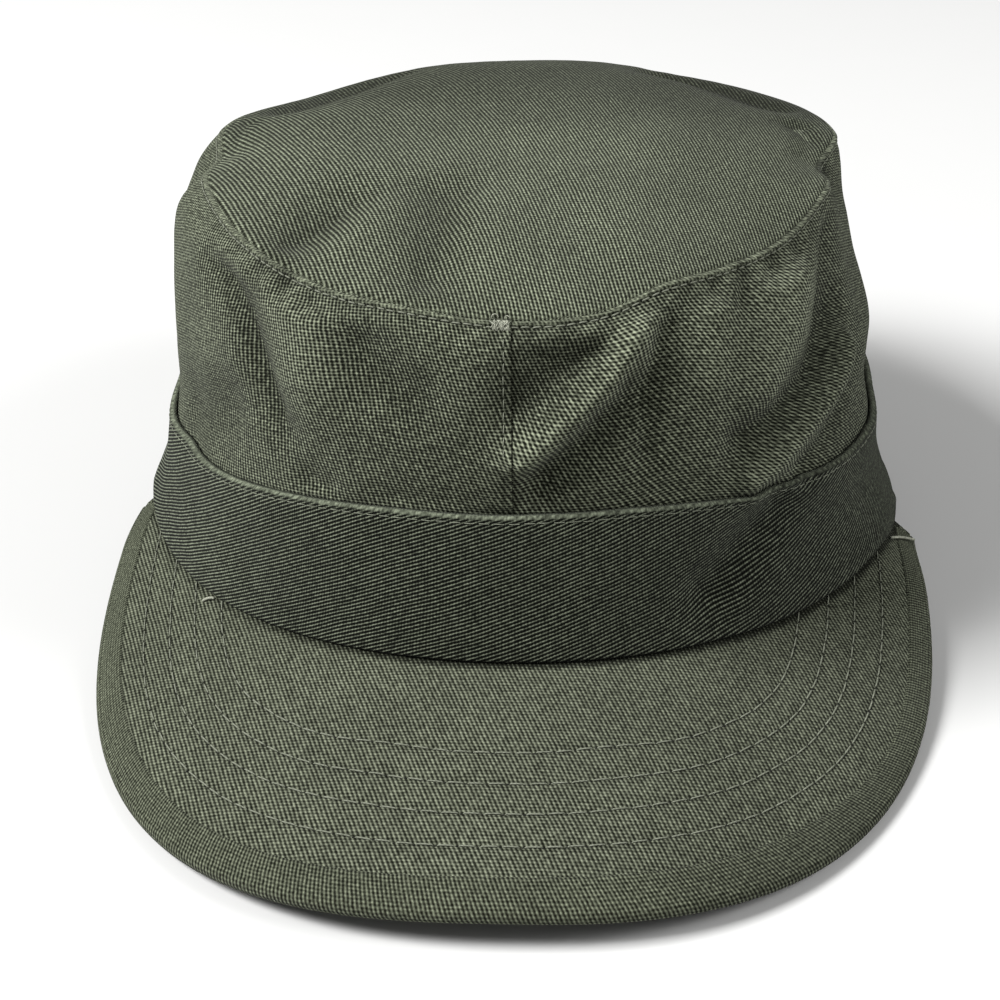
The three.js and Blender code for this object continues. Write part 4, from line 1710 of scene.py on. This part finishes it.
    def stitch(self, stitches: Stitching, azimuths: Array, edge: SeamProfile, from_top: bool) -> None:
        """Sew one row along the band's top or bottom edge.

        Args:
            stitches: The piece it belongs to.
            azimuths: Where the row runs.
            edge: The section of that edge.
            from_top: Whether it is the top edge.
        """
        to_top = FORM.wall_length(azimuths, BAND_TOP)
        whole = FORM.wall_length(azimuths, HEM)
        distance = to_top + edge.groove_at if from_top else whole - edge.groove_at
        level = FORM.levels_below_seam(azimuths, distance[None, :])[0]
        out = GAP + BAND_CLOTH - edge.groove + self.stitch_lift
        self.sew_wall(stitches, azimuths, level, out, self.stitch_rise)

    def build(self) -> list[bpy.types.Object]:
        """Build and dress the band and its stitches.

        Returns:
            The pieces.
        """
        azimuths = around(self.columns)
        made = self.band(azimuths)
        self.dress(made, "band_cloth", "band")
        stitches = Stitching("band_stitches", self.shift, length=2.3, space=0.6, radius=0.09)
        self.stitch(stitches, azimuths, BAND_EDGE, from_top=True)
        reach = np.arange(self.hem_stitches_from, HALF_TURN - self.stitch_step, self.stitch_step)
        for side in (-1.0, 1.0):
            self.stitch(stitches, np.sort(side * reach), HEM_EDGE, from_top=False)
        return [made, self.sew(stitches, "band_cloth")]


@dataclass
class Visor(PieceOfCap):
    """The stiff visor: its stitched cloth faces and the binding round its rim.

    Each row of its rim holds a place of the outline, the width of the binding and the share of a stitch row's
    distance from the rim.
    """

    columns: int = 340
    upper_rows: int = 78
    under_rows: int = 44
    board_inset: float = 0.9
    outline_step: float = 0.002
    outline_points: int = 881
    outline_end: float = 1.1
    search_parts: int = 40
    rim: tuple[tuple[float, float, float], ...] = (
        (-1.10, 5.6, 0.66),
        (-0.90, 5.7, 0.76),
        (-0.65, 6.0, 0.77),
        (-0.45, 6.2, 0.88),
        (-0.20, 7.0, 1.01),
        (0.00, 7.4, 1.0),
        (0.20, 7.5, 1.01),
        (0.45, 6.5, 0.88),
        (0.65, 4.9, 0.77),
        (0.90, 5.3, 0.80),
        (1.10, 4.8, 0.78),
    )
    stitch_rows: tuple[float, ...] = (13.9, 21.5, 28.7, 36.4)
    row_pitch: float = 7.5
    groove: float = 0.14
    groove_width: float = 0.62
    # painted shade in the stitched grooves
    groove_shade: float = 0.12
    pillow: Touch = Touch(0.08, Span((9.0, 13.0), (36.0, 40.0)))

    # painted shadow along the foot of the wall, deeper from the middle to the right
    junction_clear: float = 1.9
    junction_radius: float = 98.0
    junction_shades: tuple[Touch, ...] = (
        Touch(-0.12, Span(), Span(end=(0.1, 1.3))),
        Touch(-0.26, Span(start=(-70.0, -10.0)), Span(end=(0.1, 1.3))),
    )
    # painted shade on the right of the visor and its binding, away from the light
    right_shade: Touch = Touch(-0.04, Span((15.0, 50.0), (72.0, 90.0)))
    binding_shade: Touch = Touch(-0.05, Span((15.0, 50.0), (80.0, 92.0)))
    grain_bow: float = 0.0015

    binding_columns: int = 420
    binding_end: float = 1.09
    binding_cloth: float = 0.38
    binding_shares: tuple[float, ...] = (1.0, 0.97, 0.93, 0.87, 0.79, 0.7, 0.6, 0.5, 0.41, 0.33)
    binding_lifts: tuple[float, ...] = (-0.25, 0.1, 0.28, 0.34, 0.36, 0.38, 0.38, 0.38, 0.38, 0.38)
    binding_puckers: Pucker = Pucker(1.15, 1.6, 0.21)
    binding_gather: Touch = Touch(0.10, Spot(0.93, 0.09))
    # painted shade along both edges of the binding, where it meets the board
    binding_edge_shades: tuple[float, ...] = (-0.22, -0.1)
    nose_turn: float = 75.0
    nose_rows: int = 9
    nose_at: float = 1.75
    nose_level_at: float = 1.0

    row_ends: Pair = (-1.02, 1.0)
    row_points: int = 900
    row_clear: float = 1.0
    row_lift: float = 0.12
    slope_step: float = 0.5

    def inward(self, place: Array) -> Array:
        """Return the direction in plan from the outline into the visor."""
        along = FORM.visor_outline(place + self.outline_step) - FORM.visor_outline(place - self.outline_step)
        return unit(np.stack([-along[..., 1], along[..., 0]], axis=-1))

    def from_rim(self, flat: Array) -> tuple[Array, Array]:
        """Find how far points lie from the outline in plan.

        Args:
            flat: The x and y of each point.

        Returns:
            The distance of each, and the nearest place on the outline.
        """
        places = np.linspace(-self.outline_end, self.outline_end, self.outline_points)
        outline = FORM.visor_outline(places)
        near = np.empty(len(flat), int)
        for part in np.array_split(np.arange(len(flat)), self.search_parts):
            gap = flat[part][:, None] - outline[None]
            near[part] = np.argmin((gap**2).sum(axis=-1), axis=1)
        offset = flat - outline[near]
        return np.maximum((offset * self.inward(places[near])).sum(axis=-1), 0.0), places[near]

    def relief(self, distance: Array, place: Array) -> Array:
        """Work out the stitched grooves of the faces and the soft swell between them.

        Args:
            distance: How far from the outline points lie.
            place: The nearest place on it.

        Returns:
            How far the cloth stands up at each point.
        """
        scaled = distance / along_table(self.rim, place)[..., 1]
        groove = sum(bell(scaled, row, self.groove_width) for row in self.stitch_rows)
        swell = np.abs(np.sin((scaled - self.stitch_rows[0]) / self.row_pitch * math.pi))
        return self.pillow.at(scaled) * swell - self.groove * groove

    def roll(self, distance: Array) -> Array:
        """Return how far the rim is rolled down."""
        return FORM.rim_roll * np.maximum(1.0 - distance / FORM.rim_roll_width, 0.0) ** 2

    def past_wall(self, flat: Array, clear: float) -> Array:
        """Return how far points lie outside the wall's foot in plan, as a share of its radius."""
        return np.hypot(flat[..., 0] / (HEM_LEFT + clear), flat[..., 1] / (HEM_FRONT + clear)) - 1.0

    def face(self, rows: int, under: float, side: float) -> tuple[Array, Array]:
        """Work out one face of the board, from the tuck to the rim.

        Args:
            rows: How many rows of points it has.
            under: How far under the visor's upper face it lies.
            side: 1 if it looks up and -1 if it looks down.

        Returns:
            Its points, and the painted light and shade at each.
        """
        share = np.linspace(0.0, 1.0, self.columns)
        places = (1.0 + FORM.tail_share) * (2.0 * share - 1.0)
        outline = FORM.visor_outline(places) + self.inward(places) * self.board_inset
        tuck = FORM.visor_back(lerp(*FORM.visor_ends, share))
        flat = lerp(tuck[None], outline[None], np.linspace(0.0, 1.0, rows)[:, None, None])
        distance, place = (found.reshape(flat.shape[:2]) for found in self.from_rim(flat.reshape(-1, 2)))
        relief = self.relief(distance, place)
        height = FORM.visor_top(flat[..., 0], flat[..., 1]) - self.roll(distance) - under + side * relief
        # painted shade in the grooves, along the wall's foot and to the right
        tone = np.minimum(relief / self.groove, 0.0) * self.groove_shade
        past = self.past_wall(flat, self.junction_clear) * self.junction_radius
        tone = tone + touched(self.junction_shades, flat[..., 0], past) + self.right_shade.at(flat[..., 0])
        return np.concatenate([flat, height[..., None]], axis=-1), tone

    def board(self) -> bpy.types.Object:
        """Make the visor's two stitched faces, closed all round.

        Returns:
            The board.
        """
        upper, upper_tone = self.face(self.upper_rows, 0.0, 1.0)
        lower, lower_tone = self.face(self.under_rows, VISOR_CLOTH, -1.0)
        points = np.concatenate([lower, upper[::-1]])
        x, y = points[..., 0], points[..., 1]
        cloth = np.stack([x, y - self.grain_bow * x**2], axis=-1)
        mesh = Mesh("visor_cloth", self.shift)
        mesh.skin(points, cloth, np.concatenate([lower_tone, upper_tone[::-1]]))
        return mesh.piece(Cloth.VISOR.value.material())

    def at(self, outline: Array, inward: Array, inset: Array, rise: Numbers,
           level_at: Array | None = None) -> Array:
        """Work out points over the visor's upper face, some way in from its outline.

        Args:
            outline: The outline in plan.
            inward: The direction into the visor at each point of it.
            inset: How far in the points lie.
            rise: How far above the face.
            level_at: Where the face's height is read, if not under the points.

        Returns:
            The points, on a last axis.
        """
        reach = inset if level_at is None else level_at
        flat = outline + inward * inset[:, None]
        under = outline + inward * reach[:, None]
        height = FORM.visor_top(under[:, 0], under[:, 1]) - self.roll(reach) + rise
        return np.concatenate([flat, height[:, None]], axis=-1)

    def binding(self) -> bpy.types.Object:
        """Make the strip of cloth folded round the visor's rim.

        Returns:
            The strip, from its edge on the upper face round the rim to its edge on the lower one.
        """
        places = np.linspace(-self.binding_end, self.binding_end, self.binding_columns)
        outline = FORM.visor_outline(places)
        inward = self.inward(places)
        along = run_across(outline)
        width = along_table(self.rim, places)[:, 0]
        waves = self.binding_puckers.at(along)
        level_at = np.full_like(width, self.nose_level_at)
        nose = VISOR_CLOTH / 2 + self.binding_cloth
        rows = []
        for share, lift in zip(self.binding_shares, self.binding_lifts):
            rise = lift + self.binding_gather.at(share) * waves
            rows.append(self.at(outline, inward, width * share, rise))
        for angle in np.radians(np.linspace(self.nose_turn, -self.nose_turn, self.nose_rows)):
            inset = np.full_like(width, self.nose_at - nose * math.cos(angle))
            drop = nose * (math.sin(angle) - 1.0) + self.binding_cloth
            rows.append(self.at(outline, inward, inset, drop, level_at))
        for share, lift in zip(self.binding_shares[::-1], self.binding_lifts[::-1]):
            rows.append(self.at(outline, inward, width * share, -VISOR_CLOTH - lift))
        points = np.stack(rows[::-1])
        up = run_across(points[:, self.binding_columns // 2])
        cloth = np.stack(np.broadcast_arrays(along[None, :], up[:, None]), axis=-1)
        edge = np.zeros((len(points), 1))
        for row, shade in enumerate(self.binding_edge_shades):
            edge[[row, -1 - row]] = shade
        mesh = Mesh("visor_binding", self.shift)
        mesh.skin(points, cloth, edge + self.binding_shade.at(outline[:, 0]))
        return mesh.piece(Cloth.BINDING.value.material())

    def stitch(self, stitches: Stitching, row: float, under: bool) -> None:
        """Sew one curved row.

        Args:
            stitches: The piece it belongs to.
            row: Its distance from the rim at the tip.
            under: Whether it lies on the lower face.
        """
        places = np.linspace(*self.row_ends, self.row_points)
        outline = FORM.visor_outline(places)
        inward = self.inward(places)
        inset = row * along_table(self.rim, places)[:, 1]
        rise = self.groove - self.row_lift - VISOR_CLOTH if under else self.row_lift - self.groove
        line = self.at(outline, inward, inset, rise)
        line = line[self.past_wall(line, self.row_clear) > 0.0]
        x, y = line[:, 0], line[:, 1]
        step = self.slope_step
        slope_x = (FORM.visor_top(x + step, y) - FORM.visor_top(x - step, y)) / (2 * step)
        slope_y = (FORM.visor_top(x, y + step) - FORM.visor_top(x, y - step)) / (2 * step)
        normal = unit(np.stack([-slope_x, -slope_y, np.ones_like(x)], axis=-1))
        stitches.row(line, -normal if under else normal)

    def build(self) -> list[bpy.types.Object]:
        """Build and dress the visor, its binding and its stitches.

        Returns:
            The pieces.
        """
        board = self.board()
        binding = self.binding()
        self.dress(board, "visor_cloth", "visor")
        self.dress(binding, "visor_cloth", "visor")
        stitches = Stitching("visor_stitches", self.shift, length=3.3, space=0.6, radius=0.17)
        for row in self.stitch_rows:
            self.stitch(stitches, row, under=False)
            self.stitch(stitches, row, under=True)
        return [board, binding, self.sew(stitches, "visor_cloth")]


@dataclass
class Trimmings(PieceOfCap):
    """Loose thread ends and the tack at the front of the crown seam.

    Each range gives the least and the most of a draw, in millimetres.
    """

    tack_threads: int = 34
    tack_from: float = -2.3
    tack_to: float = 1.5
    tack_lean: Pair = (0.2, 0.9)
    tack_top: Pair = (0.2, 0.7)
    tack_foot: Pair = (1.7, 2.4)
    tack_stray: float = 0.15
    tack_lift: Pair = (0.3, 0.6)
    tack_bow: tuple[float, ...] = (-0.12, 0.072, 0.12, 0.072, -0.12)
    tack_radius: Pair = (0.07, 0.11)

    loops: tuple[Pair, ...] = ((-1.8, 0.62), (1.2, 0.45))
    loop_turn: Pair = (-0.4, math.pi + 0.9)
    loop_points: int = 9
    loop_lift: float = 0.3
    loop_middle: float = 0.7
    loop_radius: float = 0.09

    loose_ends: tuple[tuple[Pair, Pair], ...] = (
        ((-64.6, -76.6), (-67.3, -76.4)),
        ((85.8, -40.0), (92.2, -34.8)),
    )
    end_radius: float = 0.32
    end_bow: float = 0.35
    end_points: int = 9

    def tack(self, trims: Stitching) -> None:
        """Add the short bar of zigzag thread over the crown seam.

        Args:
            trims: The piece it belongs to.
        """
        count = len(self.tack_bow)
        for index in range(self.tack_threads):
            middle = self.tack_from + (self.tack_to - self.tack_from) * index / (self.tack_threads - 1)
            lean = trims.random.uniform(*self.tack_lean) * (1 if index % 2 else -1)
            ends = trims.random.uniform(*self.tack_top), trims.random.uniform(*self.tack_foot)
            distance = np.linspace(*ends, count)
            stray = trims.random.uniform(-self.tack_stray, self.tack_stray, count)
            place = (middle + lean * np.linspace(-1.0, 1.0, count) + stray) / DEGREE_AT_TACK
            level = FORM.levels_below_seam(place, repeated(distance, count)).diagonal()
            lift = trims.random.uniform(*self.tack_lift) + np.array(self.tack_bow)
            line = FORM.wall(place, level, CROWN_SEAM.out(distance) + lift)
            radius = np.full(count, trims.random.uniform(*self.tack_radius))
            trims.tube(line, FORM.wall_normal(place, level), radius)

    def tack_loops(self, trims: Stitching) -> None:
        """Add the two small loops that stand on the tack.

        Args:
            trims: The piece they belong to.
        """
        turn = np.linspace(*self.loop_turn, self.loop_points)
        ring = np.stack([np.cos(turn), np.zeros_like(turn), self.loop_middle + np.sin(turn)], axis=-1)
        normal = np.tile([0.0, -1.0, 0.0], (self.loop_points, 1))
        for at, size in self.loops:
            base = FORM.wall(np.array([at / DEGREE_AT_TACK]), np.array([CROWN]), self.loop_lift)[0]
            trims.tube(base + size * ring, normal, np.full(self.loop_points, self.loop_radius))

    def loose_end(self, trims: Stitching, start: Pair, end: Pair) -> None:
        """Add one thread end that lies on the visor.

        Args:
            trims: The piece it belongs to.
            start: Where it comes out from under the band.
            end: Its free end.
        """
        share = np.linspace(0.0, 1.0, self.end_points)
        flat = lerp(np.array(start), np.array(end), share[:, None])
        bow = self.end_radius + self.end_bow * np.sin(share * math.pi)
        line = np.concatenate([flat, (FORM.visor_top(flat[:, 0], flat[:, 1]) + bow)[:, None]], axis=-1)
        normal = np.tile([0.0, 0.0, 1.0], (self.end_points, 1))
        trims.tube(line, normal, np.full(self.end_points, self.end_radius))

    def build(self) -> list[bpy.types.Object]:
        """Build and dress the tack and the thread ends.

        Returns:
            The one piece they make, in a list.
        """
        trims = Stitching("tack_and_thread_ends", self.shift)
        self.tack(trims)
        self.tack_loops(trims)
        for start, end in self.loose_ends:
            self.loose_end(trims, start, end)
        return [self.dress(trims.mesh.piece(Yarn.PALE.value.material()), "side_cloth")]


@dataclass(frozen=True)
class SoftLight:
    """A square lamp, in metres and watts, that points at the cap."""

    name: str
    place: tuple[float, float, float]
    size: float
    power: float
    target: tuple[float, float, float] = (0.0, 0.0, 0.05)

    def build(self) -> None:
        """Add the lamp to the scene."""
        data = bpy.data.lights.new(self.name, "AREA")
        data.size = self.size
        data.energy = self.power
        made = bpy.data.objects.new(self.name, data)
        made.location = self.place
        aim = Vector(self.target) - Vector(self.place)
        made.rotation_euler = aim.to_track_quat("-Z", "Y").to_euler()
        bpy.context.scene.collection.objects.link(made)


@dataclass
class Studio:
    """The pale floor, the soft light and the camera."""

    shift: Array
    target: tuple[float, float, float] = (-5.6, -20.0, 12.5)
    distance: float = 456.0
    elevation: float = 28.0
    yaw: float = 3.5
    roll: float = -1.0
    focal_share: float = 1.874
    sensor: float = 36.0
    nearest: float = 0.01
    floor_size: float = 6.0
    floor_at: float = -0.0004
    floor_colour: tuple[float, float, float, float] = (0.52, 0.52, 0.515, 1.0)
    floor_roughness: float = 0.85
    floor_grain: float = 0.1
    floor_grain_scale: float = 40.0
    floor_grain_detail: float = 2.0
    sky: float = 0.28
    lights: tuple[SoftLight, ...] = (
        SoftLight("key", (-1.8, -0.6, 2.1), 1.1, 165.0),
        SoftLight("fill", (1.9, -0.4, 1.5), 1.1, 38.0),
    )

    def camera(self) -> None:
        """Place the camera at the photograph's viewing angle."""
        elevation, yaw, roll = (math.radians(v) for v in (self.elevation, self.yaw, self.roll))
        back = np.array([
            math.sin(yaw) * math.cos(elevation), -math.cos(yaw) * math.cos(elevation), math.sin(elevation)
        ])
        right = np.array([math.cos(yaw), math.sin(yaw), 0.0])
        up = np.cross(back, right)
        side = right * math.cos(roll) + up * math.sin(roll)
        top = up * math.cos(roll) - right * math.sin(roll)
        place = (np.array(self.target) + back * self.distance + self.shift) * METRE
        lens = bpy.data.cameras.new("camera")
        lens.lens = self.focal_share * self.sensor
        lens.sensor_width = self.sensor
        lens.clip_start = self.nearest
        camera = bpy.data.objects.new("camera", lens)
        bpy.context.scene.collection.objects.link(camera)
        camera.matrix_world = Matrix((*zip(side, top, back, place), (0.0, 0.0, 0.0, 1.0)))
        bpy.context.scene.camera = camera

    def floor(self) -> None:
        """Add the pale floor."""
        bpy.ops.object.select_all(action="DESELECT")
        bpy.ops.mesh.primitive_plane_add(size=self.floor_size, location=(0.0, 0.0, self.floor_at))
        bpy.ops.object.transform_apply()
        made = bpy.context.object
        made.name = "floor"
        shader = Shader("pale_floor")
        place = shader.node("ShaderNodeTexCoord", output="Object")
        grain = shader.noise(place, self.floor_grain_scale, self.floor_grain_detail)
        shader.give(Base_Color=self.floor_colour, Roughness=grain * self.floor_grain + self.floor_roughness)
        made.data.materials.append(shader.material)

    def build(self) -> None:
        """Build the whole studio."""
        self.camera()
        self.floor()
        for light in self.lights:
            light.build()
        world = bpy.data.worlds.new("studio")
        world.use_nodes = True
        background = world.node_tree.nodes["Background"].inputs
        background["Color"].default_value = (1.0, 1.0, 1.0, 1.0)
        background["Strength"].default_value = self.sky
        bpy.context.scene.world = world
        bpy.context.scene.view_settings.view_transform = "Standard"


def main() -> None:
    """Build the cap's sub-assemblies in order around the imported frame."""
    logging.basicConfig(level=logging.INFO, format="%(name)s: %(message)s")
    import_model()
    back_edge = HEM_BACK + GAP + BAND_CLOTH
    shift = np.array([0.0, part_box("band")[1].y / METRE - back_edge, 0.0])
    LOG.info("the head's frame lies %.2f mm back", shift[1])
    for fold in WALL_FOLDS + WALL_CREASES + TOP_FOLDS + TOP_CREASES:
        LOG.info("%s stands out %.1f mm", fold.name, fold.out)
    for part in (SidePanels, TopPanel, Band, Visor, Trimmings):
        for piece in part(shift).build():
            LOG.info("%s: %d faces", piece.name, len(piece.data.polygons))
    Studio(shift).build()


if __name__ == "__main__":
    main()
